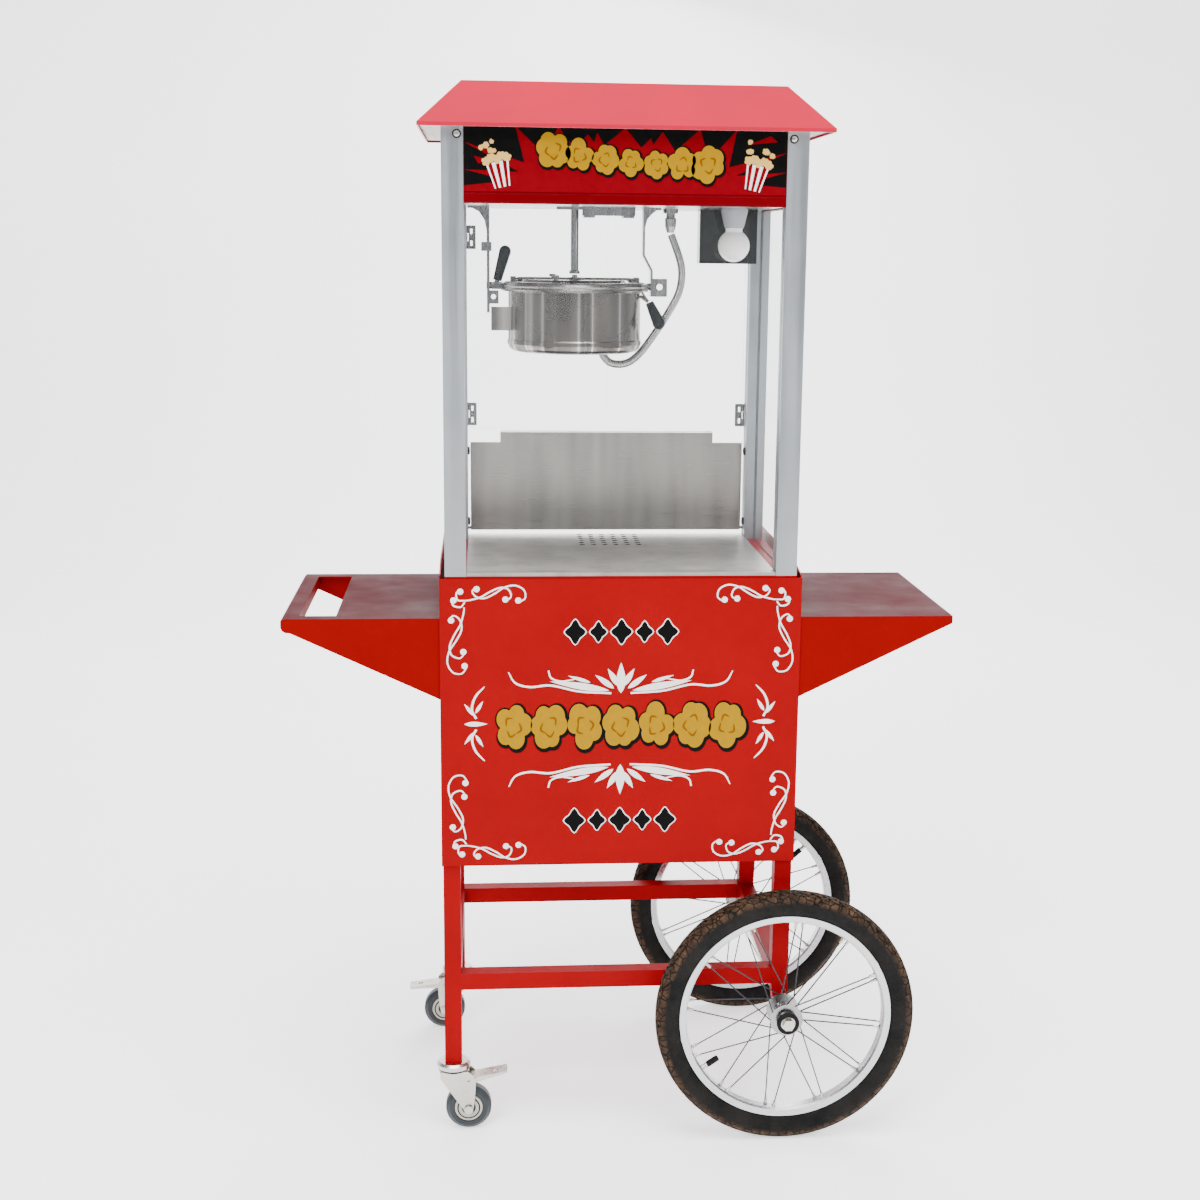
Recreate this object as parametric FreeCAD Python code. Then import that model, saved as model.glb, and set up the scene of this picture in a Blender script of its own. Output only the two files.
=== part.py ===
import FreeCAD, Part
import math
import os

# Popcorn cart: glazed popping machine standing in a two-wheeled serving cart.
# Millimetres. +Z up, +X to the customer's right, +Y towards the operator.
# Origin on the floor under the middle of the whole cart.

# ---- machine cabinet ----
MACHINE_W = 500.0        # over the corner posts
Y_FRONT = -195.0         # front face of the front posts
Y_REAR = 159.0           # rear face of the rear posts
POST = 30.0
BASE_Z = 750.0
DECK_Z = 845.0           # top ring of the machine base
TRAY_Z = 850.0
HEAD_Z = 1358.0          # underside of the header
EAVE_Z = 1460.0          # top of the posts
SHEET = 1.5
PANE_T = 3.0
GROOVE_W = 4.0
GROOVE_AT = 11.5         # groove, measured in from the outer face of a post
GROOVE_D = 7.0
# ---- roof ----
ROOF_W = 562.0
ROOF_OVER = 31.0
ROOF_INSET = 58.5
ROOF_TOP = 1520.0
ROOF_LIP = 5.0
# ---- cart ----
TUBE = 25.0
TUBE_WALL = 2.0
CART_W = 512.0           # over the legs
CART_D = 380.0
RAIL_TOP = 248.0
UPPER_TOP = 748.0
PANEL_Z0 = 418.0
PANEL_Z1 = 842.0
CASTER_LEG_Z = 107.0
FOOT_Z = 252.0           # where the tapered axle feet join the right-hand legs
DOOR_PIVOT = (-224.0, 184.5)
# ---- wings ----
WING_X = 480.0
WING_Z = 785.0
WING_Y0 = -195.0
WING_Y1 = 155.0
WING_IN = 258.0          # inner plate, against the cart's side
WING_FOOT = 667.0        # lowest edge of the gussets
HANDLE_X = (-456.0, -404.0)
HANDLE_IN = 22.0         # ends of the handle slot, in from the wing's edges
# ---- spoked wheels ----
AXLE_X = 245.0
AXLE_Z = 192.0
AXLE_R = 6.0
WHEEL_Y = 232.0          # distance of each wheel plane from the middle
TYRE_R = 192.0
RIM_R = 157.0
RIM_IN = 146.0
SPOKES = 12              # on each hub flange
SPOKE_R = 1.3
SPOKE_LEAN = 0.62        # radians round the rim, against the radius
FLANGE_R = 24.0
FLANGE_Y = 19.5
VALVE_AT = (214.0, 42.0)  # degrees, front and rear wheel
# ---- casters ----
CASTER_X = -243.5
CASTER_Y = 177.5
CASTER_TRAIL = 22.0
CASTER_R = 34.0
CASTER_HALF = 12.5
PEDAL_Z = 77.0           # pedal pivot
# ---- kettle ----
KX, KY = -61.0, -18.0
POT_R = 97.0
POT_Z0 = 1150.0
RIM_Z = 1249.0
KETTLE_RIM_R = 109.0
TILT_Z = 1245.0
SHAFT_R = 5.8
HOSE_R = 5.75
RUN = 0.05               # running clearance


def box(x0, y0, z0, x1, y1, z1):
    return Part.makeBox(x1 - x0, y1 - y0, z1 - z0, FreeCAD.Vector(x0, y0, z0))


def cyl(r, h, x, y, z, d=(0, 0, 1)):
    return Part.makeCylinder(r, h, FreeCAD.Vector(x, y, z), FreeCAD.Vector(*d))


def rod(a, b, r, r2=None):
    a, b = FreeCAD.Vector(*a), FreeCAD.Vector(*b)
    d = b.sub(a)
    if r2 is None:
        return Part.makeCylinder(r, d.Length, a, d)
    return Part.makeCone(r, r2, d.Length, a, d)


def along(a, b, distance):
    """Point on the line through a and b, that far from a towards b."""
    a, b = FreeCAD.Vector(*a), FreeCAD.Vector(*b)
    return a + (b - a).normalize() * distance


def plate_xz(points, y0, y1):
    """Plate with its outline in X-Z."""
    w = Part.makePolygon([FreeCAD.Vector(x, y0, z) for x, z in points + points[:1]])
    return Part.Face(w).extrude(FreeCAD.Vector(0, y1 - y0, 0))


def plate_yz(points, x0, x1):
    """Plate with its outline in Y-Z."""
    w = Part.makePolygon([FreeCAD.Vector(x0, y, z) for y, z in points + points[:1]])
    return Part.Face(w).extrude(FreeCAD.Vector(x1 - x0, 0, 0))


def turned(points, centre, axis):
    """Solid of revolution: points are (radius, height along the axis)."""
    c, a = FreeCAD.Vector(*centre), FreeCAD.Vector(*axis)
    side = FreeCAD.Vector(1, 0, 0) if abs(a.x) < 0.5 else FreeCAD.Vector(0, 1, 0)
    pts = [c + side * r + a * h for r, h in points]
    return Part.Face(Part.makePolygon(pts + pts[:1])).revolve(c, a, 360)


def fuse(shapes):
    return shapes[0].multiFuse(shapes[1:]).removeSplitter()


def cut(shape, tools):
    return shape.cut(tools[0]) if len(tools) == 1 else shape.cut(tools[0].multiFuse(tools[1:]))


def mirror_x(shape):
    return shape.mirror(FreeCAD.Vector(0, 0, 0), FreeCAD.Vector(1, 0, 0))


def mirror_y(shape, at=0.0):
    return shape.mirror(FreeCAD.Vector(0, at, 0), FreeCAD.Vector(0, 1, 0))


def save(node, *shapes):
    shape = shapes[0] if len(shapes) == 1 else Part.makeCompound(list(shapes))
    if len(shape.Solids) != 1 or not shape.isValid():
        print(node, "solids", len(shape.Solids), "valid", shape.isValid())
    shape.exportStep(os.path.join("parts", node + ".step"))


# ------------------------------------------------------------------ cart

def tube_x(x0, x1, y, z_top):
    t, w = TUBE, TUBE_WALL
    return box(x0, y, z_top - t, x1, y + t, z_top).cut(
        box(x0 - 1, y + w, z_top - t + w, x1 + 1, y + t - w, z_top - w))


def tube_y(x, y0, y1, z_top):
    t, w = TUBE, TUBE_WALL
    return box(x, y0, z_top - t, x + t, y1, z_top).cut(
        box(x + w, y0 - 1, z_top - t + w, x + t - w, y1 + 1, z_top - w))


def leg(x, y, z0):
    t, w = TUBE, TUBE_WALL
    return box(x, y, z0, x + t, y + t, UPPER_TOP).cut(
        box(x + w, y + w, z0 - 1, x + t - w, y + t - w, UPPER_TOP + 1))


def axle_foot(y):
    """Tapered solid foot of a right-hand leg, drilled for the axle."""
    x1 = CART_W / 2
    x0 = x1 - TUBE
    outline = [(x0, FOOT_Z), (x0, 221), (AXLE_X - 10.5, 194), (AXLE_X - 8, 182), (AXLE_X - 3, 178),
               (AXLE_X + 3, 178), (AXLE_X + 8, 182), (AXLE_X + 10.5, 194), (x1, 221), (x1, FOOT_Z)]
    foot = plate_xz(outline, y, y + TUBE)
    return foot.cut(cyl(AXLE_R + RUN, TUBE + 2, AXLE_X, y - 1, AXLE_Z, (0, 1, 0)))


def cart_frame():
    hx, hy = CART_W / 2, CART_D / 2
    pieces = []
    for y in (-hy, hy - TUBE):
        pieces.append(leg(-hx, y, CASTER_LEG_Z))
        pieces.append(leg(hx - TUBE, y, FOOT_Z))
        pieces.append(axle_foot(y))
        for top in (RAIL_TOP, UPPER_TOP):
            pieces.append(tube_x(-hx + TUBE, hx - TUBE, y, top))
    for x in (-hx, hx - TUBE):
        for top in (RAIL_TOP, UPPER_TOP):
            pieces.append(tube_y(x, -hy + TUBE, hy - TUBE, top))
    frame = fuse(pieces)
    # pivot hole for the cabinet door in the rear upper rail
    return frame.cut(cyl(3 + RUN, 4, *DOOR_PIVOT, UPPER_TOP - TUBE - 1))


def front_panel():
    """Folded sheet pan over the cart's front."""
    y0, y1 = -197.0, -CART_D / 2
    x = CART_W / 2 + 1.9
    pan = box(-x, y0, PANEL_Z0, x, y1, PANEL_Z1)
    hollow = box(-x + SHEET, y0 + SHEET, PANEL_Z0 + SHEET, x - SHEET, y1 + 1, PANEL_Z1 + 1)
    return pan.cut(hollow)


def side_panel():
    """Right-hand cart side, with an ear standing up beside the machine."""
    hy = CART_D / 2
    outline = [(-hy, PANEL_Z0), (hy, PANEL_Z0), (hy, 846), (hy - 12, 858), (-hy + 70, 858),
               (-hy, 846)]
    skin = plate_yz(outline, CART_W / 2, CART_W / 2 + 2)
    lip = box(CART_W / 2 - 12, -140, PANEL_Z0 - 2, CART_W / 2 + 2, 140, PANEL_Z0)
    return fuse([skin, lip])


def cabinet_floor():
    hx, hy = CART_W / 2, CART_D / 2
    z = PANEL_Z0
    plate = fuse([box(-hx, -hy + TUBE, z, hx, hy - TUBE, z + 2),
                  box(-hx + TUBE, -hy, z, hx - TUBE, hy, z + 2),
                  box(-hx + TUBE, -hy, z, hx - TUBE, -hy + 2, z + 16)])
    return plate.cut(cyl(3 + RUN, 10, *DOOR_PIVOT, z - 2))


def cart_deck():
    return box(-CART_W / 2, -CART_D / 2, UPPER_TOP, CART_W / 2, CART_D / 2, BASE_Z)


def cabinet_door():
    z0, z1 = 423.0, 720.0
    leaf = box(-229.5, 186, z0, 229.5, 188, z1)
    rims = [box(-229.5 if x < 0 else 229.5 - SHEET, 174 if x > 0 else 184, z0,
                -229.5 + SHEET if x < 0 else 229.5, 186, z1) for x in (-1, 1)]
    caps = [box(-228, 181, z, 228, 186, z + SHEET) for z in (z0, z1 - SHEET)]
    px, py = DOOR_PIVOT
    pins = [cyl(3, z0 - PANEL_Z0 + 2, px, py, PANEL_Z0), cyl(3, 5.5, px, py, z1 - 0.5)]
    blocks = [box(px - 4, py - 3.3, z, px + 4, 188, z + 6) for z in (z0, z1 - 6)]
    knob = fuse([cyl(5, 12, 200, 187, 590, (0, 1, 0)), cyl(12, 8, 200, 198, 590, (0, 1, 0))])
    return fuse([leaf, knob] + rims + caps + pins + blocks)


# ------------------------------------------------------------------ wings

def gusset(x_in, x_out, y, z_out):
    """Tapering side plate under a wing."""
    outline = [(x_in, WING_Z - 1), (x_out, WING_Z - 1), (x_out, z_out), (x_in, WING_FOOT)]
    return plate_xz(outline, y, y + 2)


def wing_left():
    """Wing with a slot along its outer edge, which leaves a push bar."""
    x0, x1 = -WING_X, -WING_IN
    h0, h1 = HANDLE_X
    y0, y1 = WING_Y0 + HANDLE_IN, WING_Y1 - HANDLE_IN
    shelf = box(x0 + 8, WING_Y0, WING_Z - 2, x1, WING_Y1, WING_Z)
    shelf = shelf.cut(box(h0, y0, WING_Z - 3, h1, y1, WING_Z + 1))
    bar = plate_xz([(x0 + 3, WING_Z), (x0, WING_Z - 3), (x0, 773), (x0 + 2, 768), (x0 + 7, 765),
                    (h0 - 3, 765), (h0, 768), (h0, WING_Z)], WING_Y0, WING_Y1)
    bar = bar.cut(plate_xz([(x0 + 2, 782.5), (x0 + 2, 773.5), (x0 + 4, 769.5), (x0 + 8, 767),
                            (h0 - 4, 767), (h0 - 2, 769), (h0 - 2, 782.5)], WING_Y0 + 2, WING_Y1 - 2))
    lip = box(h1, y0, WING_Z - 12, h1 + 2, y1, WING_Z - 1)
    back = box(x1 - 2, WING_Y0, WING_FOOT + 1, x1, WING_Y1, WING_Z)
    sides = [gusset(x1, x0 + 10, y, 766) for y in (WING_Y0, WING_Y1 - 2)]
    return fuse([shelf, bar, lip, back] + sides)


def wing_right():
    x0, x1 = WING_IN, WING_X
    shelf = box(x0, WING_Y0, WING_Z - 2, x1, WING_Y1, WING_Z)
    lip = box(x1 - 2, WING_Y0, WING_Z - 11, x1, WING_Y1, WING_Z)
    back = box(x0, WING_Y0, WING_FOOT + 1, x0 + 2, WING_Y1, WING_Z)
    sides = [gusset(x0, x1 - 1, y, 774) for y in (WING_Y0, WING_Y1 - 2)]
    return fuse([shelf, lip, back] + sides)


# ------------------------------------------------------------------ machine cabinet

DRAWER_X = 150.0
DRAWER_Z0, DRAWER_Z1 = 761.0, 828.0


def machine_base():
    hx = MACHINE_W / 2
    shell = box(-hx, Y_FRONT, BASE_Z, hx, Y_REAR, DECK_Z).cut(
        box(-hx + 2, Y_FRONT + 2, BASE_Z + 2, hx - 2, Y_REAR - 2, DECK_Z - 2))
    top = box(-214, Y_FRONT + 36, DECK_Z - 5, 214, Y_REAR - 36, DECK_Z + 5)
    mouth = box(-DRAWER_X - 3, Y_REAR - 5, 757, DRAWER_X + 3, Y_REAR + 5, 833)
    shell = cut(shell, [top, mouth])
    runners = [box(s * DRAWER_X - 8, -130, BASE_Z + 1, s * DRAWER_X + 8, Y_REAR - 1, 760.5)
               .cut(box(s * DRAWER_X - 6.5, -131, BASE_Z + 1, s * DRAWER_X + 6.5, Y_REAR, 759))
               for s in (-1, 1)]
    return fuse([shell] + runners)


def drawer():
    x, y0, y1 = DRAWER_X, -110.0, Y_REAR
    tub = box(-x, y0, DRAWER_Z0, x, y1, DRAWER_Z1).cut(
        box(-x + SHEET, y0 + SHEET, DRAWER_Z0 + SHEET, x - SHEET, y1 - SHEET, DRAWER_Z1 + 1))
    face = box(-x - 12, Y_REAR + 0.5, 753, x + 12, Y_REAR + 2.5, 838)
    link = box(-x, Y_REAR - 1, DRAWER_Z0, x, Y_REAR + 1, DRAWER_Z1)
    pull = plate_yz([(Y_REAR + 2, 824), (Y_REAR + 20, 824), (Y_REAR + 20, 812),
                     (Y_REAR + 18, 812), (Y_REAR + 18, 822), (Y_REAR + 2, 822)], -55, 55)
    return fuse([tub, face, link, pull])


def tray():
    x, y0, y1 = 219.5, Y_FRONT + 1, Y_REAR - 3.5
    pan = box(-x, y0, DECK_Z, x, y1, TRAY_Z).cut(
        box(-x + SHEET, y0 + SHEET, DECK_Z - 1, x - SHEET, y1 - SHEET, TRAY_Z - SHEET))
    holes = [cyl(4.5, 5, -43.75 + 17.5 * i, 47 + 19 * j, TRAY_Z - 4)
             for i in range(6) for j in range(6)]
    return cut(pan, holes)


FLAP_Y = 151.0
FLAP_HINGE = (155.5, 860.0)


def post(sx, sy, flap_pivot=False, screw=False):
    """Corner extrusion: hollow outer corner and two glazing grooves."""
    p, g0, g1 = POST, GROOVE_AT, GROOVE_AT + GROOVE_W
    z0, z1 = DECK_Z, EAVE_Z
    body = box(0, 0, z0, p, p, z1)
    body = cut(body, [box(2, 2, z0 - 1, 21, 21, z1 + 1),
                      box(p - GROOVE_D, g0, z0 - 1, p + 1, g1, z1 + 1),
                      box(g0, p - GROOVE_D, z0 - 1, g1, p + 1, z1 + 1)])
    if screw:
        body = body.fuse(cyl(3.6, 3.2, 21.5, -1.6, 1448.5, (0, 1, 0)))
    if flap_pivot:
        body = body.cut(cyl(2.5 + RUN, 5, p - 4, Y_REAR - FLAP_HINGE[0], FLAP_HINGE[1], (1, 0, 0)))
    if sx > 0:
        body = mirror_x(body)
    if sy > 0:
        body = mirror_y(body)
    y = Y_FRONT if sy < 0 else Y_REAR
    body.translate(FreeCAD.Vector(sx * MACHINE_W / 2, y, 0))
    return body


def pane_front():
    y = Y_FRONT + GROOVE_AT + 0.5
    x = MACHINE_W / 2 - POST + GROOVE_D - 0.5
    return box(-x, y, TRAY_Z, x, y + PANE_T, HEAD_Z - 0.5)


def pane_side(side):
    x = MACHINE_W / 2 - GROOVE_AT - 0.5
    y0, y1 = Y_FRONT + POST - GROOVE_D + 0.5, Y_REAR - POST + GROOVE_D - 0.5
    pane = box(x - PANE_T, y0, DECK_Z, x, y1, HEAD_Z - 0.5)
    return pane if side > 0 else mirror_x(pane)


HINGE_X, HINGE_Y = 222.0, 166.5
HINGE_Z = (1022.0, 1296.0)
HINGE_H = 36.0
DOOR_Z0, DOOR_Z1 = 1018.0, 1354.0
KNOB_X, KNOB_Z = 24.0, 1190.0


def door(side):
    """Clear door over the right-hand half of the rear opening."""
    leaf = box(1, 160.5, DOOR_Z0, 217.5, 164.5, DOOR_Z1)
    leaf = leaf.cut(cyl(2.5, 6, KNOB_X, 159, KNOB_Z, (0, 1, 0)))
    return leaf if side > 0 else mirror_x(leaf)


def door_hinges():
    """Leaf, middle knuckle and pin of each of the four door hinges."""
    out = []
    for z in HINGE_Z:
        leaf = box(224, Y_REAR, z, 247, Y_REAR + SHEET, z + HINGE_H)
        web = box(223, Y_REAR, z + 12.4, 226, HINGE_Y, z + 23.6)
        knuckle = cyl(3.5, 11.2, HINGE_X, HINGE_Y, z + 12.4)
        pin = cyl(1.5, HINGE_H, HINGE_X, HINGE_Y, z)
        one = fuse([leaf, web, knuckle, pin])
        out += [one, mirror_x(one)]
    return out


def door_hardware(side):
    """Moving hinge leaves and the knob of one door."""
    out = []
    for z in HINGE_Z:
        plate = box(206, 164.5, z, 219.5, 166, z + HINGE_H)
        slots = [box(211, 163, z + 5, 214.5, 167, z + 13), box(211, 163, z + 23, 214.5, 167, z + 31)]
        plate = cut(plate, slots)
        knuckles = [cyl(3.5, 12, HINGE_X, HINGE_Y, z), cyl(3.5, 12, HINGE_X, HINGE_Y, z + 24)]
        leaf = fuse([plate] + knuckles)
        leaf = leaf.cut(box(217, 160, z + 12, 227, 170, z + 24))
        out.append(leaf.cut(cyl(1.5 + RUN, HINGE_H + 2, HINGE_X, HINGE_Y, z - 1)))
    out.append(fuse([cyl(r, h, KNOB_X, y, KNOB_Z, (0, 1, 0))
                     for r, h, y in ((2.3, 9, 160), (6, 8, 164.5), (10, 9, 171))]))
    return out if side > 0 else [mirror_x(s) for s in out]


def serving_flap():
    """Steel flap across the rear opening, hinged along its bottom edge."""
    x, y = 216.0, FLAP_Y
    hinge_y, hinge_z = FLAP_HINGE
    sheet = box(-x, y, hinge_z - 3, x, y + SHEET, 997)
    grip = plate_yz([(y, 996), (y + SHEET, 996), (y + SHEET, 1011), (y + 9, 1013), (y + 9, 1015),
                     (y, 1013)], -169, 169)
    edges = [box(a, y - 4, hinge_z + 4, a + SHEET, y + SHEET, 997) for a in (-x, x - SHEET)]
    barrel = cyl(3.8, 2 * x, -x, hinge_y, hinge_z, (1, 0, 0))
    pins = cyl(2.5, 2 * x + 14, -x - 7, hinge_y, hinge_z, (1, 0, 0))
    return fuse([sheet, grip, barrel, pins] + edges)


def header_front():
    y = Y_FRONT
    outline = [(y, EAVE_Z), (y, 1372), (y - 1.5, 1370), (y - 1.5, 1361), (y + 0.5, HEAD_Z),
               (y + 14, HEAD_Z), (y + 14, HEAD_Z + SHEET), (y + SHEET, HEAD_Z + SHEET),
               (y + SHEET, EAVE_Z)]
    return plate_yz(outline, -219.5, 219.5)


def header_sides():
    x, y0, y1 = MACHINE_W / 2, Y_FRONT + POST + 0.5, Y_REAR - POST - 0.5
    side = box(x - SHEET, y0, HEAD_Z, x, y1, EAVE_Z)
    side = side.fuse(box(x - 14, y0, HEAD_Z, x, y1, HEAD_Z + SHEET))
    slots = [box(x - 4, y0 + 70 + 14 * i, 1385, x + 2, y0 + 74 + 14 * i, 1430) for i in range(11)]
    side = cut(side, slots)
    return side, mirror_x(side)


SWITCH_X = (-60.0, 0.0, 60.0)
SWITCH_Z = 1408.0
GLAND_X, GLAND_Z = 185.0, 1385.0


def control_panel():
    """Rear of the header: rocker cut-outs, switch bezels and the mains cable gland."""
    y = Y_REAR
    panel = box(-219.5, y - SHEET, HEAD_Z, 219.5, y, EAVE_Z)
    flange = box(-219.5, y - 14, HEAD_Z, 219.5, y, HEAD_Z + SHEET)
    panel = fuse([panel, flange])
    bezels = [box(x - 10, y - 10, SWITCH_Z - 17, x + 10, y + 2, SWITCH_Z + 17) for x in SWITCH_X]
    holes = [box(x - 7, y - 12, SWITCH_Z - 14, x + 7, y + 4, SWITCH_Z + 14) for x in SWITCH_X]
    gland = fuse([cyl(r, h, GLAND_X, y - 1, GLAND_Z, (0, 1, 0)) for r, h in ((9, 8), (6.5, 14))])
    bore = cyl(3.6, 22, GLAND_X, y - 4, GLAND_Z, (0, 1, 0))
    return cut(fuse([panel, gland] + bezels), holes + [bore])


def rocker(x):
    """Rocker switch cap, its two faces sloping away from the pivot line."""
    y, z = Y_REAR, SWITCH_Z
    outline = [(y - 2, z - 12), (y + 2.5, z - 12), (y + 1.2, z), (y + 4.2, z + 12), (y - 2, z + 12)]
    cap = plate_yz(outline, x - 6.7, x + 6.7)
    return fuse([cap, cyl(3.5, 13.4, x - 6.7, y - 3, z, (1, 0, 0))])


def ceiling_plate():
    x = 219.5
    plate = box(-x, Y_FRONT + 15, HEAD_Z, x, Y_REAR - 15, HEAD_Z + SHEET)
    return plate.cut(cyl(SHAFT_R + 1, 10, KX, KY, HEAD_Z - 5))


def hose_connector():
    """Gland that brings the kettle's armoured lead through the ceiling."""
    x, y = 79.0, KY
    return turned([(0, 0), (5.2, 0), (8, 9), (8.8, 20), (6.5, 22), (6.5, 27), (11, 28),
                   (11, 34.5), (0, 34.5)], (x, y, 1323), (0, 0, 1))


def roof():
    """Hipped sheet roof with a turned-down lip and a vented underside."""
    x, y0, y1 = ROOF_W / 2, Y_FRONT - ROOF_OVER, Y_REAR + ROOF_OVER
    z0 = EAVE_Z + 1.5

    def frustum(d, za, zb):
        k = ROOF_INSET
        low = [FreeCAD.Vector(*p) for p in ((-x + d, y0 + d, za), (x - d, y0 + d, za),
                                            (x - d, y1 - d, za), (-x + d, y1 - d, za))]
        high = [FreeCAD.Vector(*p) for p in ((-x + d + k, y0 + d + k, zb), (x - d - k, y0 + d + k, zb),
                                             (x - d - k, y1 - d - k, zb), (-x + d + k, y1 - d - k, zb))]
        return Part.makeLoft([Part.makePolygon(low + low[:1]), Part.makePolygon(high + high[:1])],
                             True, True)
    outer = fuse([frustum(0, z0, ROOF_TOP), box(-x, y0, z0 - ROOF_LIP, x, y1, z0)])
    inner = frustum(2.2, z0, ROOF_TOP - 1.5)
    recess = box(-x + 2, y0 + 2, z0 - ROOF_LIP - 1, x - 2, y1 - 2, z0 - 1.5)
    vents = [cyl(2.6, 6, s * 266, y0 + 40 + 56 * i, z0 - 5) for s in (-1, 1) for i in range(7)]
    vents += [box(s * 258 - 3, y0 + 12, z0 - 5, s * 258 + 3, y0 + 22, z0 + 1) for s in (-1, 1)]
    return cut(outer, [inner, recess] + vents)


# ------------------------------------------------------------------ drive and kettle

def drive_mount():
    """Gear motor above the ceiling and its bracket below."""
    gear = box(KX - 55, KY - 38, HEAD_Z + SHEET, KX + 45, KY + 38, 1402)
    motor = cyl(27, 62, KX - 10, KY, 1390)
    bar = box(KX - 27, KY - 19, 1354, KX + 87, KY - 7, HEAD_Z)
    bar = bar.fuse(box(KX + 10, KY - 19, 1346, KX + 87, KY - 7, HEAD_Z))
    lugs = [box(KX + dx, KY - 24, 1343, KX + dx + 16, KY + 20, HEAD_Z) for dx in (12, 69)]
    block = fuse([gear, motor])
    return block.cut(cyl(SHAFT_R + RUN, 22, KX, KY, 1350)), fuse([bar] + lugs)


def drive_shaft():
    """Shaft down from the gear motor, with a collar round its open end."""
    z0, z1 = 1262.8, 1368.0
    shaft = cyl(SHAFT_R, z1 - z0 - 3, KX, KY, z0 + 3)
    collar = turned([(4.3, 0), (8, 0), (8, 4), (SHAFT_R - 1, 6), (4.3, 6)], (KX, KY, z0), (0, 0, 1))
    return fuse([shaft, collar])


def hanger_left():
    x0, x1 = -189.0, -185.0
    y0, y1 = KY - 12, KY + 12
    strap = box(x0, y0, 1206, x1, y1, HEAD_Z)
    foot = box(-216, y0, HEAD_Z - 3, x1, y1, HEAD_Z)
    web = plate_xz([(x0 + 1, HEAD_Z - 1), (-214, HEAD_Z - 1), (-200, 1350), (-192, 1338), (x0 + 1, 1318)],
                   KY - 1.5, KY + 1.5)
    clamp = box(-197, KY - 10, 1294, -182, KY - 2, 1307)
    ear = box(x0, y0 - 2, 1219, -172, y0, 1238).cut(cyl(3.5, 6, -179.5, y0 - 4, 1229, (0, 1, 0)))
    body = fuse([strap, foot, web, clamp, ear])
    return body.cut(cyl(5 + RUN, 8, x0 - 2, KY, TILT_Z, (1, 0, 0)))


def hanger_right():
    y0, y1 = KY - 12, KY + 12
    strap = plate_xz([(38, HEAD_Z), (38, 1290), (50, 1268), (50, 1231), (53, 1231), (53, 1269),
                      (41, 1291), (41, HEAD_Z)], y0, y1)
    foot = box(38, y0, HEAD_Z - 3, 64, y1, HEAD_Z)
    web = plate_xz([(40, HEAD_Z - 1), (62, HEAD_Z - 1), (52, 1350), (45, 1342), (40, 1322)],
                   KY - 1.5, KY + 1.5)
    catch = box(50, y0 - 2, 1232, 74, y0, 1257).cut(cyl(4.5, 6, 63, y0 - 4, 1245, (0, 1, 0)))
    shelf = box(53, y0 - 2, 1231, 74, y0 + 8, 1233)
    body = fuse([strap, foot, web, catch, shelf])
    return body.cut(cyl(5 + RUN, 8, 48, KY, TILT_Z, (1, 0, 0)))


BRIDGE_HALF = 10.0
GRIP_FOOT = (-174.0, KY - 11, 1252.5)
GRIP_TIP = (-162.5, KY - 11, 1294.0)
HOSE = [(80.0, KY, 1320.7), (90.0, KY, 1296.5), (98.0, KY, 1270.0), (95.0, KY, 1239.0),
        (81.0, KY, 1212.5), (65.0, KY, 1187.0), (48.5, KY, 1163.0), (33.0, KY, 1142.0),
        (17.0, KY, 1127.5), (-1.5, KY, 1126.0), (-13.5, KY, 1133.5), (-19.5, KY, 1146.0)]
LID_Y = 13.2             # lid hinge lines, each side of the kettle's axis
LID_Z = 1255.0


def kettle_pot():
    """Pot with rolled rim, heater base, lid bridge, trunnions and side shield."""
    c = (KX, KY, 0)
    profile = [(0, POT_Z0), (84, POT_Z0), (91, POT_Z0 + 2), (95.2, POT_Z0 + 5.5), (POT_R, POT_Z0 + 10),
               (POT_R + 1.2, 1162), (POT_R + 1.2, 1167), (POT_R, 1169),
               (POT_R, 1236), (KETTLE_RIM_R - 2, 1238), (KETTLE_RIM_R, 1240.5), (KETTLE_RIM_R - 1.5, 1243),
               (KETTLE_RIM_R, 1245.5), (KETTLE_RIM_R - 2, RIM_Z), (99, RIM_Z), (95, 1246), (95, 1170),
               (90, 1165), (0, 1165)]
    pot = turned(profile, c, (0, 0, 1))
    bridge = box(KX - 103, KY - BRIDGE_HALF, 1247, KX + 103, KY + BRIDGE_HALF, 1250)
    bridge = bridge.fuse(box(KX - 92, KY - BRIDGE_HALF, 1250, KX + 92, KY + BRIDGE_HALF, 1253))
    boss = cyl(8, 8, KX, KY, 1250)
    lugs = [box(KX + s * 90 - 4, KY - LID_Y - 4, 1249, KX + s * 90 + 4, KY + LID_Y + 4, 1258.5)
            for s in (-1, 1)]
    pins = [rod((KX - 104, KY, TILT_Z), (-189.6, KY, TILT_Z), 5),
            rod((KX + 104, KY, TILT_Z), (57, KY, TILT_Z), 5)]
    arm = box(-182, KY - 18, 1240, -160, KY + 4, 1248)
    stud = rod(along(GRIP_FOOT, GRIP_TIP, -9), along(GRIP_FOOT, GRIP_TIP, -0.1), 3.4)
    shield = fuse([box(-183, KY - 26, 1181, -153, KY - 24, 1215),
                   box(-183, KY - 26, 1181, -181, KY - 6, 1215),
                   box(-183, KY - 26, 1181, -153.5, KY - 14, 1183)])
    stub = rod((34, KY - 22, 1232), (46, KY - 22, 1224), 2.5)
    loop = rod((30, KY - 32, 1245), (45.4, KY - 24, 1225), 1.6)
    gland = rod(along(HOSE[-1], HOSE[-2], -0.1), along(HOSE[-1], HOSE[-2], -8), 5)
    body = fuse([pot, bridge, boss, arm, stud, shield, stub, loop, gland] + lugs + pins)
    body = body.cut(cyl(4 + RUN, 40, KX, KY, 1240))
    for s in (-1, 1):
        body = body.cut(cyl(1.5 + RUN, 240, KX - 120, KY + s * LID_Y, LID_Z, (1, 0, 0)))
    return body


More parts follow.
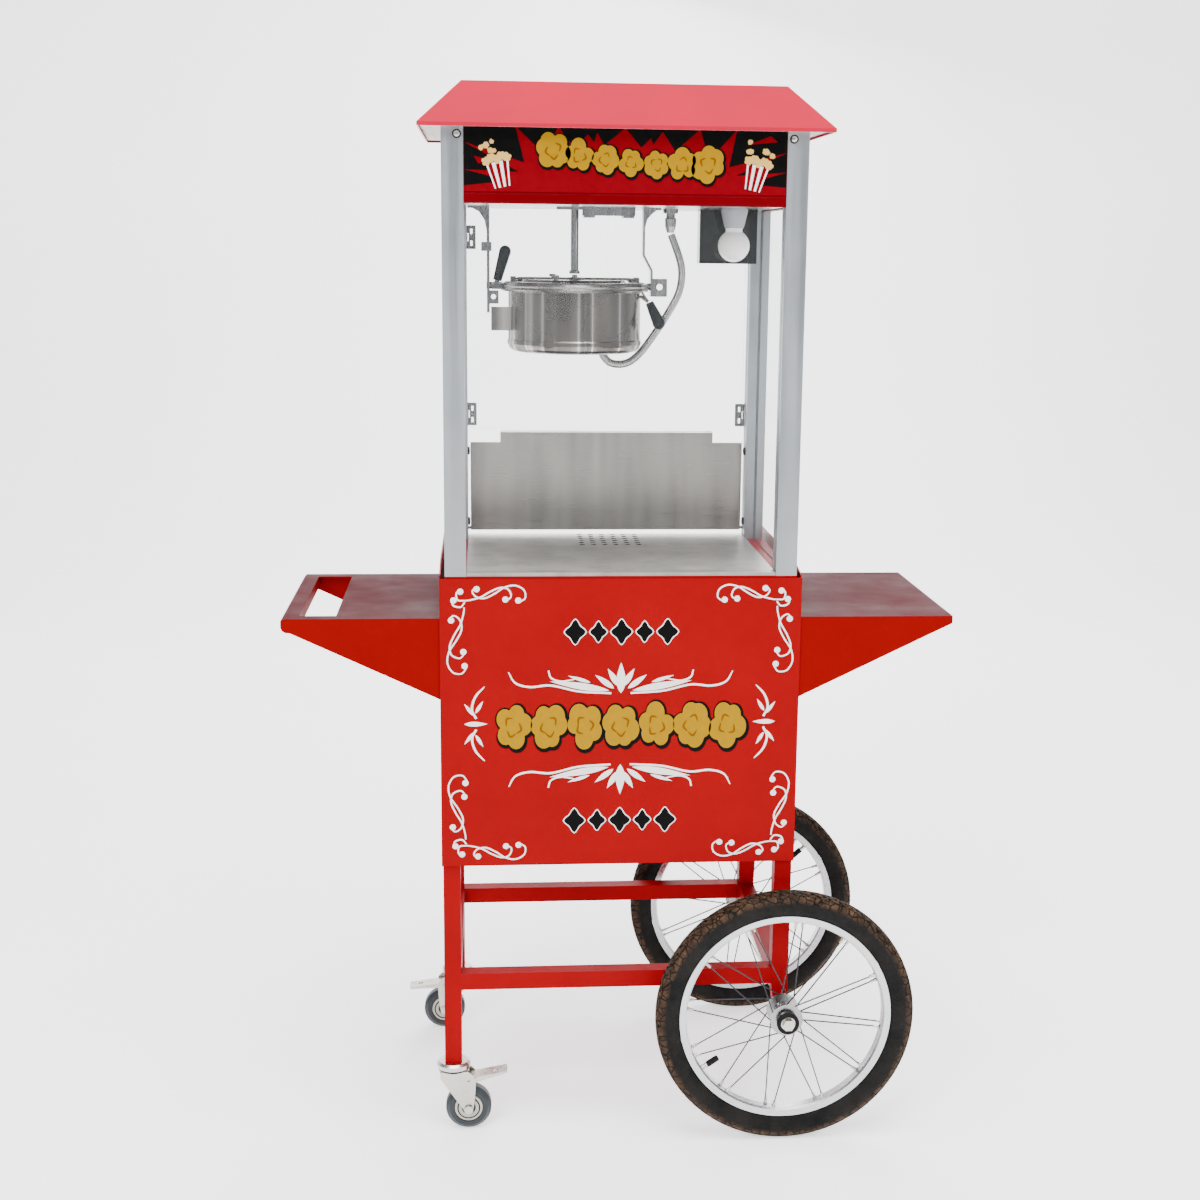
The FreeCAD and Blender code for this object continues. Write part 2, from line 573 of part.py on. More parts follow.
def lid(side):
    """Half lid with a rolled hinge edge; the front one is slotted for the drive shaft."""
    y = KY + side * LID_Y
    lo, hi = sorted((y, y + side * 110))
    z = RIM_Z + 0.5
    disc = turned([(0, 3.5), (78, 3.5), (82, 0), (102, 0), (102, 1.5), (83, 1.5), (79, 5), (0, 5)],
                  (KX, KY, z), (0, 0, 1))
    disc = disc.common(box(KX - 120, lo, 1240, KX + 120, hi, 1270))
    for s in (-1, 1):
        disc = disc.cut(box(KX + s * 90 - 6, KY - 20, 1240, KX + s * 90 + 6, KY + 20, 1270))
    tab = cyl(9, SHEET, KX, KY + side * 99, z)
    grip = fuse([cyl(2.5, 7, KX - 30, KY + side * 62, z + 4), cyl(5, 4, KX - 30, KY + side * 62, z + 8)])
    a, b = sorted((y, y + side * 2.4))
    leaf = box(KX - 76, a, z + 3.5, KX + 76, b, LID_Z)
    roll = cyl(2.6, 166, KX - 83, y, LID_Z, (1, 0, 0))
    pin = cyl(1.5, 186, KX - 93, y, LID_Z, (1, 0, 0))
    body = fuse([disc, tab, grip, leaf, roll, pin])
    if side < 0:
        slot = box(KX - 10, KY - 56, 1240, KX + 10, KY, 1280)
        body = body.cut(slot)
    return body


def agitator():
    shaft = cyl(4, 1261.5 - 1167, KX, KY, 1167)
    hub = cyl(8, 10, KX, KY, 1167)
    pin = cyl(1.5, 7.4, KX - 3.7, KY, 1259, (1, 0, 0))
    arms = []
    for k in range(2):
        a = math.pi * k + 0.5
        ca, sa = math.cos(a), math.sin(a)
        arm = plate_yz([(0, 1167), (84, 1167), (84, 1172), (60, 1175), (0, 1175)], -1, 1)
        arm = arm.rotate(FreeCAD.Vector(0, 0, 0), FreeCAD.Vector(0, 0, 1), math.degrees(a))
        arm.translate(FreeCAD.Vector(KX, KY, 0))
        arms.append(arm)
        arms.append(rod((KX - sa * 45, KY + ca * 45, 1173), (KX - sa * 45, KY + ca * 45, 1200), 2.5))
    return fuse([shaft, hub, pin] + arms)


def grip_left():
    ball = Part.makeSphere(8.6, FreeCAD.Vector(*GRIP_TIP))
    return fuse([rod(GRIP_FOOT, GRIP_TIP, 6.2, 8.6), ball])


def grip_right():
    a, b, tip = (47.5, KY - 22, 1223), (62, KY - 22, 1193), 9.3
    ball = Part.makeSphere(tip, FreeCAD.Vector(*b))
    return fuse([rod(a, b, 5.8, tip), ball])


def hose():
    """Armoured lead: straight runs joined by tangent arcs."""
    pts = [FreeCAD.Vector(*p) for p in HOSE]
    edges, start = [], pts[0]
    for i in range(1, len(pts) - 1):
        u, v = pts[i].sub(pts[i - 1]), pts[i + 1].sub(pts[i])
        t = 0.45 * min(u.Length, v.Length)
        half = u.getAngle(v) / 2
        u.normalize()
        v.normalize()
        a, b = pts[i] - u * t, pts[i] + v * t
        radius = t / math.tan(half)
        bisector = (v - u).normalize()
        centre = pts[i] + bisector * (radius / math.cos(half))
        mid = centre - bisector * radius
        edges += [Part.makeLine(start, a), Part.Arc(a, mid, b).toShape()]
        print("hose bend", i, "radius", round(radius, 1), "turn", round(math.degrees(2 * half), 1))
        start = b
    edges.append(Part.makeLine(start, pts[-1]))
    wire = Part.Wire(edges)
    ring = Part.Wire([Part.Circle(pts[0], pts[1].sub(pts[0]), HOSE_R).toShape()])
    tube = wire.makePipeShell([ring], True, False)
    print("hose length", round(wire.Length, 1), "volume over section times length",
          round(tube.Volume / (math.pi * HOSE_R ** 2 * wire.Length), 4))
    return tube


def lamp_reflector():
    """Bright plate behind the lamp, with its sides folded forward."""
    x0, x1, y0, y1, z0 = 126.0, 212.0, 14.0, 45.5, 1279.0
    back = box(x0, y1 - SHEET, z0, x1, y1, HEAD_Z)
    sides = [box(x, y0, z0, x + SHEET, y1, HEAD_Z) for x in (x0, x1 - SHEET)]
    return fuse([back] + sides)


LAMP_X, LAMP_Y, LAMP_Z = 176.0, 4.0, 1305.5
BULB_R = 23.5
SOCKET_H = 27.0


def lamp_socket():
    h = SOCKET_H
    return turned([(0, 0), (13.5, 0), (15, 3), (20, h - 3), (20, h), (0, h)],
                  (LAMP_X, LAMP_Y, HEAD_Z - h), (0, 0, 1))


def lamp_bulb():
    ball = Part.makeSphere(BULB_R, FreeCAD.Vector(LAMP_X, LAMP_Y, LAMP_Z))
    neck_z = LAMP_Z + 10
    neck = cyl(12.5, HEAD_Z - SOCKET_H - neck_z, LAMP_X, LAMP_Y, neck_z)
    return fuse([ball, neck])


# ------------------------------------------------------------------ wheels

def axle():
    pieces = [cyl(AXLE_R, 2 * 268, AXLE_X, -268, AXLE_Z, (0, 1, 0))]
    for s in (-1, 1):
        pieces.append(rod((AXLE_X, s * 190, AXLE_Z), (AXLE_X, s * 199, AXLE_Z), 9))
        pieces.append(rod((AXLE_X, s * 263, AXLE_Z), (AXLE_X, s * 266, AXLE_Z), 10.5))
        ring = [FreeCAD.Vector(AXLE_X + 9 * math.cos(k * math.pi / 3), s * 265,
                               AXLE_Z + 9 * math.sin(k * math.pi / 3)) for k in range(6)]
        nut = Part.Face(Part.makePolygon(ring + ring[:1])).extrude(FreeCAD.Vector(0, s * 8, 0))
        pieces.append(nut)
    return fuse(pieces)


def spoke(centre, a0, a1, side):
    """Eight-sided spoke, flat-ended against the hub flange's edge and the inside of the rim."""
    out = FreeCAD.Vector(math.cos(a0), 0, math.sin(a0))
    round_ = FreeCAD.Vector(-math.sin(a0), 0, math.cos(a0))
    start = centre + out * FLANGE_R + FreeCAD.Vector(0, side * FLANGE_Y, 0)
    reach = FreeCAD.Vector(math.cos(a1), 0, math.sin(a1))
    end = centre + reach * (RIM_IN + 4) + FreeCAD.Vector(0, side * 3, 0)
    ring = []
    for k in range(8):
        b = math.pi * (k + 0.5) / 4
        ring.append(start + round_ * (SPOKE_R * math.cos(b)) + FreeCAD.Vector(0, SPOKE_R * math.sin(b), 0))
    bar = Part.Face(Part.makePolygon(ring + ring[:1])).extrude(end - start)
    beyond = box(RIM_IN - 0.02, -30, -40, RIM_IN + 20, 30, 40)
    beyond.rotate(FreeCAD.Vector(0, 0, 0), FreeCAD.Vector(0, 1, 0), -math.degrees(a1))
    beyond.translate(centre)
    return bar.cut(beyond)


def spoked_wheel(valve_at):
    """Front wheel: box rim with its valve, hub with two flanges, crossed spokes."""
    c = FreeCAD.Vector(AXLE_X, -WHEEL_Y, AXLE_Z)
    rim = turned([(RIM_IN, -7), (RIM_IN + 2, -10), (RIM_R, -11.5), (RIM_R, -9), (RIM_R - 3, -7.5),
                  (RIM_R - 4, 0), (RIM_R - 3, 7.5), (RIM_R, 9), (RIM_R, 11.5), (RIM_IN + 2, 10),
                  (RIM_IN, 7)], c, (0, 1, 0))
    hub = turned([(AXLE_R + RUN, -30), (12, -30), (14, -27), (14, -22), (FLANGE_R, -21),
                  (FLANGE_R, -18), (13, -16), (13, 16), (FLANGE_R, 18), (FLANGE_R, 21), (14, 22),
                  (14, 27), (12, 32), (AXLE_R + RUN, 32)], c, (0, 1, 0))
    spokes = []
    for k in range(SPOKES):
        for side in (-1, 1):
            a0 = 2 * math.pi * (k + (0.5 if side > 0 else 0)) / SPOKES
            spokes.append(spoke(c, a0, a0 + side * SPOKE_LEAN, side))
    a = math.radians(valve_at)
    out = FreeCAD.Vector(math.cos(a), 0, math.sin(a))
    valve = rod(c + out * RIM_IN, c + out * (RIM_IN - 26), 3.6)
    return [fuse([rim, valve]), hub] + spokes


def tyre():
    c = (AXLE_X, -WHEEL_Y, AXLE_Z)
    section = [(RIM_R + 0.3, -11), (RIM_R + 5, -15), (172, -18), (182, -18.5), (188, -15), (191, -9),
               (TYRE_R, -3), (TYRE_R, 3), (191, 9), (188, 15), (182, 18.5), (172, 18), (RIM_R + 5, 15),
               (RIM_R + 0.3, 11)]
    return turned(section, c, (0, 1, 0))


# ------------------------------------------------------------------ casters

def caster_mount(y):
    """Plug in the leg, top race and king pin."""
    x = CASTER_X
    plug = cyl(9, 40, x, y, CASTER_LEG_Z - 1)
    race = turned([(0, 0), (20, 0), (25, 3), (25, 9), (21, 12), (0, 12)], (x, y, 95), (0, 0, 1))
    pin = cyl(5, 16, x, y, 80)
    head = cyl(8, 4, x, y, 78)
    return fuse([plug, race, pin, head])


def caster_fork(y, s):
    """Fork with its axle bolt; s is the side it trails to."""
    x, w = CASTER_X, CASTER_X + s * CASTER_TRAIL
    z = CASTER_R
    outline = [(x - s * 20, 94), (x + s * 20, 94), (w + s * 11, 82), (w + s * 10, 60), (w + s * 7.5, 37),
               (w + s * 5, 28), (w, 25.5), (w - s * 5, 27.5), (w - s * 8, 34), (x - s * 20, 84)]
    arms = [plate_xz(outline, y + o, y + o + 2.5) for o in (-16.5, 14)]
    top = box(x - 20, y - 16.5, 88, x + 20, y + 16.5, 91.5)
    ring = cyl(23, 3, x, y, 91.4)
    bolt = cyl(4, 41, w, y - 20.5, z, (0, 1, 0))
    heads = [cyl(6.5, 4, w, y - 20.5, z, (0, 1, 0)), cyl(6.5, 4, w, y + 16.5, z, (0, 1, 0))]
    body = fuse([top, ring, bolt] + arms + heads)
    body = body.cut(cyl(5 + RUN, 20, x, y, 84))
    return body.cut(cyl(2.5 + RUN, 40, w, y - 20, PEDAL_Z, (0, 1, 0)))


def caster_wheel(y, s):
    c = (CASTER_X + s * CASTER_TRAIL, y, CASTER_R)
    h = CASTER_HALF
    return turned([(4 + RUN, -h), (9, -h), (10, -h + 2), (21, -h + 2.5), (22, -h), (28, -h),
                   (CASTER_R, -h + 6), (CASTER_R, h - 6), (28, h), (22, h), (21, h - 2.5),
                   (10, h - 2), (9, h), (4 + RUN, h)], c, (0, 1, 0))


def caster_pedal(y, s, slope):
    """Brake pedal with its pivot pin; slope lifts the tip from level."""
    w, z = CASTER_X + s * CASTER_TRAIL, PEDAL_Z
    t = math.tan(math.radians(slope))
    low = [(w - s * 6, z - 5), (w + s * 10, z - 4 + 6 * t), (w + s * 57, z - 1 + 57 * t)]
    high = [(w + s * 58, z + 2 + 57 * t), (w + s * 10, z + 4 + 10 * t), (w - s * 6, z + 5)]
    pad = plate_xz(low + high, y - 12.5, y + 12.5)
    pin = cyl(2.5, 37, w, y - 18.5, z, (0, 1, 0))
    hole = cyl(4, 60, w + s * 40, y, z - 20)
    return fuse([pad, pin]).cut(hole)


os.makedirs("parts", exist_ok=True)
save("cart_frame", cart_frame())
save("front_panel", front_panel())
save("side_panel_right", side_panel())
save("side_panel_left", mirror_x(side_panel()))
save("cabinet_floor", cabinet_floor())
save("cart_deck", cart_deck())
save("cabinet_door", cabinet_door())
save("wing_left", wing_left())
save("wing_right", wing_right())
save("machine_base", machine_base())
save("drawer", drawer())
save("tray", tray())
save("post_front_left", post(-1, -1, screw=True))
save("post_front_right", post(1, -1, screw=True))
save("post_rear_left", post(-1, 1, flap_pivot=True))
save("post_rear_right", post(1, 1, flap_pivot=True))
save("pane_front", pane_front())
save("pane_left", pane_side(-1))
save("pane_right", pane_side(1))
save("door_left", door(-1))
save("door_right", door(1))
save("door_hinges", *door_hinges())
save("door_left_hardware", *door_hardware(-1))
save("door_right_hardware", *door_hardware(1))
save("serving_flap", serving_flap())
save("header_front", header_front())
save("header_sides", *header_sides())
save("control_panel", control_panel())
for name, at in zip(("light", "motor", "heat"), SWITCH_X):
    save("switch_" + name, rocker(at))
save("ceiling_plate", ceiling_plate(), hose_connector())
save("roof", roof())
save("drive_mount", *drive_mount())
save("drive_shaft", drive_shaft())
save("hanger_left", hanger_left())
save("hanger_right", hanger_right())
save("kettle_pot", kettle_pot())
save("lid_front", lid(-1))
save("lid_rear", lid(1))
save("agitator", agitator())
save("grip_left", grip_left())
save("grip_right", grip_right())
save("hose", hose())
save("lamp_reflector", lamp_reflector())
save("lamp_socket", lamp_socket())
save("lamp_bulb", lamp_bulb())
save("axle", axle())
save("wheel_front", *spoked_wheel(VALVE_AT[0]))
save("wheel_rear", *[mirror_y(s) for s in spoked_wheel(VALVE_AT[1])])
save("tyre_front", tyre())
save("tyre_rear", mirror_y(tyre()))
for name, side, trail, slope in (("front", -1, 1, 13.0), ("rear", 1, -1, -5.0)):
    place = side * CASTER_Y
    save("caster_" + name + "_mount", caster_mount(place))
    save("caster_" + name + "_fork", caster_fork(place, trail))
    save("caster_" + name + "_wheel", caster_wheel(place, trail))
    save("caster_" + name + "_pedal", caster_pedal(place, trail, slope))
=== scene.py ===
import math
import random

import bmesh
import bpy
from mathutils import Matrix, Vector


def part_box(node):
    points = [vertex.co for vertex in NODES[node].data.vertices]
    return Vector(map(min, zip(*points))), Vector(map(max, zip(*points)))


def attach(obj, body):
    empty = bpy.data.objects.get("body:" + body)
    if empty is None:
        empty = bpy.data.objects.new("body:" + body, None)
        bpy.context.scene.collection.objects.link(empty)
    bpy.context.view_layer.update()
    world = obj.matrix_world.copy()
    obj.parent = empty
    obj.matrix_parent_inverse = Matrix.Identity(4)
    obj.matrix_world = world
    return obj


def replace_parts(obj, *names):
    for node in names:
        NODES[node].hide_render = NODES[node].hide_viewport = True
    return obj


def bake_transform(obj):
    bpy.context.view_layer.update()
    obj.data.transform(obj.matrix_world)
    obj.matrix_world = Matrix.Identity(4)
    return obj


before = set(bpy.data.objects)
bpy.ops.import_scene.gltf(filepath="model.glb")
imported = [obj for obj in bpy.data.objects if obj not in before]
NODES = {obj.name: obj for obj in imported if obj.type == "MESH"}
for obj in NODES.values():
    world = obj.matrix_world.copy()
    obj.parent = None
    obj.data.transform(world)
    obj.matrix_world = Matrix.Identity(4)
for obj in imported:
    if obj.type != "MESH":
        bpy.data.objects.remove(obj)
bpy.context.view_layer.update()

MM = 0.001
random.seed(7)


def middle(name):
    """Middle of a node's box at rest, in metres."""
    lo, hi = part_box(name)
    return (lo + hi) / 2


def in_mm(name):
    """Lowest and highest corners of a node's box at rest, in millimetres."""
    return [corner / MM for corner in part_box(name)]


def machine_front():
    """Y of the machine's front plane, in millimetres."""
    return in_mm("machine_base")[0].y


# ---------------------------------------------------------------- camera, light, floor

def camera():
    """Looks down a little from the front left, from just above the kettle's height."""
    eye = Vector((-0.1886, -2.658, 1.3035))
    yaw, pitch, roll = -0.083, 0.199, 0.012
    level_reach = math.cos(pitch)
    forward = Vector((-math.sin(yaw) * level_reach, math.cos(yaw) * level_reach, -math.sin(pitch)))
    level = Vector((math.cos(yaw), math.sin(yaw), 0.0))
    up = level.cross(forward)
    right = level * math.cos(roll) + up * math.sin(roll)
    up = up * math.cos(roll) - level * math.sin(roll)
    data = bpy.data.cameras.new("camera")
    data.sensor_width, data.lens = 36.0, 53.214
    data.shift_x, data.shift_y = -0.02767, 0.00317
    data.clip_start, data.clip_end = 0.05, 60.0
    ob = bpy.data.objects.new("camera", data)
    turn = Matrix((right, up, -forward)).transposed()
    ob.matrix_world = Matrix.Translation(eye) @ turn.to_4x4()
    bpy.context.scene.collection.objects.link(ob)
    bpy.context.scene.camera = ob


def area_light(name, place, target, size, watts):
    data = bpy.data.lights.new(name, "AREA")
    data.shape, data.size, data.energy = "DISK", size, watts
    ob = bpy.data.objects.new(name, data)
    ob.location = place
    ob.rotation_mode = "QUATERNION"
    ob.rotation_quaternion = (Vector(target) - Vector(place)).to_track_quat("-Z", "Y")
    bpy.context.scene.collection.objects.link(ob)


def stage():
    """Even pale world, four soft lights, and a floor that curves up behind the object."""
    world = bpy.data.worlds.new("studio")
    bpy.context.scene.world = world
    world.use_nodes = True
    background = world.node_tree.nodes["Background"]
    background.inputs["Color"].default_value = (0.93, 0.95, 1.0, 1)
    background.inputs["Strength"].default_value = 0.55
    area_light("key", (-2.2, -3.8, 3.4), (0, 0, 0.9), 2.0, 190)
    area_light("fill", (3.2, -3.0, 2.4), (0, 0, 0.9), 2.0, 80)
    area_light("top", (0.0, -1.0, 4.6), (0, 0, 0.6), 3.4, 330)
    area_light("back", (0.6, 3.3, 3.2), (0, 1.0, 0.0), 3.0, 170)
    mesh = bpy.data.meshes.new("floor")
    half, depth, rise, radius, steps = 9.0, 4.6, 6.0, 1.6, 14
    profile = [(-half, 0.0), (depth - radius, 0.0)]
    for k in range(1, steps + 1):
        a = math.pi / 2 * k / steps
        profile.append((depth - radius + radius * math.sin(a), radius - radius * math.cos(a)))
    profile.append((depth, rise))
    verts = [(x, y, z) for y, z in profile for x in (-half, half)]
    faces = [(2 * k, 2 * k + 1, 2 * k + 3, 2 * k + 2) for k in range(len(profile) - 1)]
    mesh.from_pydata(verts, [], faces)
    mesh.polygons.foreach_set("use_smooth", [True] * len(faces))
    ob = bpy.data.objects.new("floor", mesh)
    bpy.context.scene.collection.objects.link(ob)
    m, s = material("floor_paper", (0.92, 0.92, 0.92), 0.8, specular=0.1)
    s.inputs["Emission Color"].default_value = (1.0, 1.0, 1.0, 1)
    s.inputs["Emission Strength"].default_value = 1.0
    speckle(m, s, 3.0, 0.015, 0.03)
    mesh.materials.append(m)


# ---------------------------------------------------------------- materials

def material(name, colour, roughness, metallic=0.0, ior=1.45, specular=0.5):
    """New material and its shader node, set to one even finish."""
    m = bpy.data.materials.new(name)
    m.use_nodes = True
    s = m.node_tree.nodes["Principled BSDF"]
    s.inputs["Base Color"].default_value = (*colour, 1)
    s.inputs["Roughness"].default_value = roughness
    s.inputs["Metallic"].default_value = metallic
    s.inputs["IOR"].default_value = ior
    s.inputs["Specular IOR Level"].default_value = specular
    return m, s


def link(m, a, b):
    m.node_tree.links.new(a, b)


def noise(m, scale, stretch=(1, 1, 1), detail=4.0, rough=0.55):
    """Noise over the object's own coordinates, in metres, stretched per axis."""
    nodes = m.node_tree.nodes
    coord = nodes.new("ShaderNodeTexCoord")
    mapping = nodes.new("ShaderNodeMapping")
    mapping.inputs["Scale"].default_value = stretch
    tex = nodes.new("ShaderNodeTexNoise")
    tex.inputs["Scale"].default_value = scale
    tex.inputs["Detail"].default_value = detail
    tex.inputs["Roughness"].default_value = rough
    link(m, coord.outputs["Object"], mapping.inputs["Vector"])
    link(m, mapping.outputs["Vector"], tex.inputs["Vector"])
    return tex.outputs["Fac"]


def ramp(m, fac, stops):
    """Colour read from a value; stops are (value, colour) in rising order."""
    node = m.node_tree.nodes.new("ShaderNodeValToRGB")
    first, last = node.color_ramp.elements[0], node.color_ramp.elements[1]
    first.position, first.color = stops[0][0], (*stops[0][1], 1)
    last.position, last.color = stops[-1][0], (*stops[-1][1], 1)
    for place, colour in stops[1:-1]:
        node.color_ramp.elements.new(place).color = (*colour, 1)
    link(m, fac, node.inputs["Fac"])
    return node.outputs["Color"]


def spread(m, fac, low, high, from_low=0.3, from_high=0.7):
    """Maps a value from one range to another, clamped at both ends."""
    node = m.node_tree.nodes.new("ShaderNodeMapRange")
    for key, value in (("From Min", from_low), ("From Max", from_high),
                       ("To Min", low), ("To Max", high)):
        node.inputs[key].default_value = value
    link(m, fac, node.inputs["Value"])
    return node.outputs["Result"]


def blend_colour(m, fac, a, b, mode="MIX"):
    """Mix of two colours; each argument is a socket or a plain value."""
    node = m.node_tree.nodes.new("ShaderNodeMix")
    node.data_type, node.blend_type = "RGBA", mode
    for value, socket in ((fac, node.inputs[0]), (a, node.inputs[6]), (b, node.inputs[7])):
        if isinstance(value, (int, float)):
            socket.default_value = value
        elif isinstance(value, tuple):
            socket.default_value = (*value, 1)
        else:
            link(m, value, socket)
    return node.outputs[2]


def bump(m, s, height, strength, distance):
    node = m.node_tree.nodes.new("ShaderNodeBump")
    node.inputs["Strength"].default_value = strength
    node.inputs["Distance"].default_value = distance
    link(m, height, node.inputs["Height"])
    link(m, node.outputs["Normal"], s.inputs["Normal"])


def speckle(m, s, scale, colour_var, rough_var):
    """Slight variation of colour and roughness about what the shader is set to."""
    base = tuple(s.inputs["Base Color"].default_value)[:3]
    rough = s.inputs["Roughness"].default_value
    fac = noise(m, scale)
    dark = tuple(c * (1 - colour_var) for c in base)
    light = tuple(min(1.0, c * (1 + colour_var)) for c in base)
    link(m, ramp(m, fac, [(0.3, dark), (0.7, light)]), s.inputs["Base Color"])
    link(m, spread(m, fac, max(0.0, rough - rough_var), rough + rough_var), s.inputs["Roughness"])


def enamel(name, colour, roughness, dust=0.05, specular=0.03):
    """Sprayed gloss enamel: faint orange peel, cloudy gloss and a little dust."""
    m, s = material(name, colour, roughness, specular=specular)
    cloud = noise(m, 9.0)
    deep = tuple(c * 0.88 for c in colour)
    tone = ramp(m, cloud, [(0.3, deep), (0.7, colour)])
    dirt = spread(m, noise(m, 55.0, detail=6.0, rough=0.7), 0.0, dust, 0.55, 0.78)
    link(m, blend_colour(m, dirt, tone, (0.22, 0.03, 0.03)), s.inputs["Base Color"])
    link(m, spread(m, cloud, roughness * 0.8, roughness * 1.3), s.inputs["Roughness"])
    bump(m, s, noise(m, 420.0, detail=1.0), 0.04, 0.0004)
    return m


def faced_enamel(name, colour, other, up, specular):
    """Enamel with a second colour on the faces that look up (or down, if up is false); on the wings'
    tops that colour is painted shade.
    """
    m = enamel(name, colour, 0.4, 0.1, specular)
    s = m.node_tree.nodes["Principled BSDF"]
    nodes = m.node_tree.nodes
    split = nodes.new("ShaderNodeSeparateXYZ")
    link(m, nodes.new("ShaderNodeNewGeometry").outputs["Normal"], split.inputs[0])
    turned = spread(m, split.outputs["Z"], 0.0, 1.0, *((0.6, 0.75) if up else (-0.6, -0.75)))
    painted = s.inputs["Base Color"].links[0].from_socket
    link(m, blend_colour(m, turned, painted, other), s.inputs["Base Color"])
    return m


def stretch_gloss(m, s, amount):
    """Stretches reflections across brush strokes that run along X."""
    s.inputs["Anisotropic"].default_value = amount
    strokes = m.node_tree.nodes.new("ShaderNodeCombineXYZ")
    strokes.inputs["X"].default_value = 1.0
    link(m, strokes.outputs[0], s.inputs["Tangent"])


def brushed(name, colour, roughness, grain, strength, stain, contrast=0.14, aniso=0.0, bands=None):
    """Brushed metal; grain is the noise stretch, small along the brush strokes.

    stain darkens broad patches and contrast the strokes. bands is the stretch of the noise
    that shades the sheet, where that isn't plain clouds.
    """
    m, s = material(name, colour, roughness, metallic=1.0)
    if aniso:
        stretch_gloss(m, s, aniso)
    lines = noise(m, 1.0, grain, detail=3.0)
    cloud = noise(m, 1.0, bands, detail=2.0) if bands else noise(m, 14.0, detail=5.0)
    dark = tuple(c * (1 - stain) for c in colour)
    tone = ramp(m, cloud, [(0.3, dark), (0.65, colour)])
    streak = spread(m, lines, 1.0 - contrast, 1.0 + contrast / 3, 0.35, 0.65)
    grey = ramp(m, streak, [(0.0, (0.0, 0.0, 0.0)), (1.0, (1.0, 1.0, 1.0))])
    link(m, blend_colour(m, 1.0, tone, grey, "MULTIPLY"), s.inputs["Base Color"])
    link(m, spread(m, lines, roughness * 0.75, roughness * 1.3), s.inputs["Roughness"])
    bump(m, s, lines, strength, 0.0002)
    return m


def spun_steel_painted_reflections(axis_at):
    """Polished steel with painted reflections: upright light and dark bands round a vertical axis, in
    the base colour.
    """
    m, s = material("spun_steel_painted_reflections", (0.4, 0.38, 0.36), 0.3, metallic=1.0)
    nodes = m.node_tree.nodes
    offset = nodes.new("ShaderNodeVectorMath")
    offset.operation = "SUBTRACT"
    offset.inputs[1].default_value = axis_at
    link(m, nodes.new("ShaderNodeTexCoord").outputs["Object"], offset.inputs[0])
    level = nodes.new("ShaderNodeVectorMath")
    level.operation = "MULTIPLY"
    level.inputs[1].default_value = (1, 1, 0.001)
    link(m, offset.outputs[0], level.inputs[0])
    heading = nodes.new("ShaderNodeVectorMath")
    heading.operation = "NORMALIZE"
    link(m, level.outputs[0], heading.inputs[0])
    bands = nodes.new("ShaderNodeTexNoise")
    bands.inputs["Scale"].default_value = 1.9
    bands.inputs["Detail"].default_value = 2.0
    link(m, heading.outputs[0], bands.inputs["Vector"])
    # painted reflections: these light and dark bands stand for the room mirrored in the pot
    tone = ramp(m, bands.outputs["Fac"], [(0.30, (0.05, 0.043, 0.038)), (0.42, (0.15, 0.134, 0.122)),
                                          (0.47, (0.22, 0.20, 0.185)), (0.50, (0.56, 0.52, 0.49)),
                                          (0.54, (0.21, 0.19, 0.175)), (0.62, (0.12, 0.108, 0.098)),
                                          (0.75, (0.36, 0.335, 0.315))])
    link(m, tone, s.inputs["Base Color"])
    link(m, spread(m, noise(m, 18.0, detail=1.0), 0.24, 0.30), s.inputs["Roughness"])
    return m


def plastic(name, colour, roughness, specular=0.35):
    """Moulded plastic or rubber with a fine grain."""
    m, s = material(name, colour, roughness, specular=specular)
    speckle(m, s, 40.0, 0.12, 0.06)
    bump(m, s, noise(m, 900.0, detail=2.0), 0.12, 0.0002)
    return m


def ink(name, colour):
    """Screen-printed ink with slight mottling."""
    m, s = material(name, colour, 0.32, specular=0.04)
    speckle(m, s, 130.0, 0.05, 0.05)
    bump(m, s, noise(m, 700.0, detail=1.0), 0.05, 0.0002)
    return m


def clear_pane(name, tint):
    """Thin clear sheet: nearly all see-through, more mirror-like at a glancing angle."""
    m, s = material(name, tint, 0.04, specular=0.35)
    nodes = m.node_tree.nodes
    facing = nodes.new("ShaderNodeLayerWeight")
    facing.inputs["Blend"].default_value = 0.2
    smear = spread(m, noise(m, 6.0, detail=5.0), 0.0, 0.005, 0.4, 0.7)
    edge = spread(m, facing.outputs["Facing"], 0.014, 0.32, 0.3, 1.0)
    total = nodes.new("ShaderNodeMath")
    total.operation = "ADD"
    link(m, edge, total.inputs[0])
    link(m, smear, total.inputs[1])
    link(m, total.outputs[0], s.inputs["Alpha"])
    return m


def cut_edge(name, tint):
    """Sawn edge of a clear sheet, frosted and greyer than its faces."""
    m, s = material(name, tint, 0.35, specular=0.35)
    link(m, spread(m, noise(m, 90.0, detail=3.0), 0.6, 0.85), s.inputs["Alpha"])
    return m


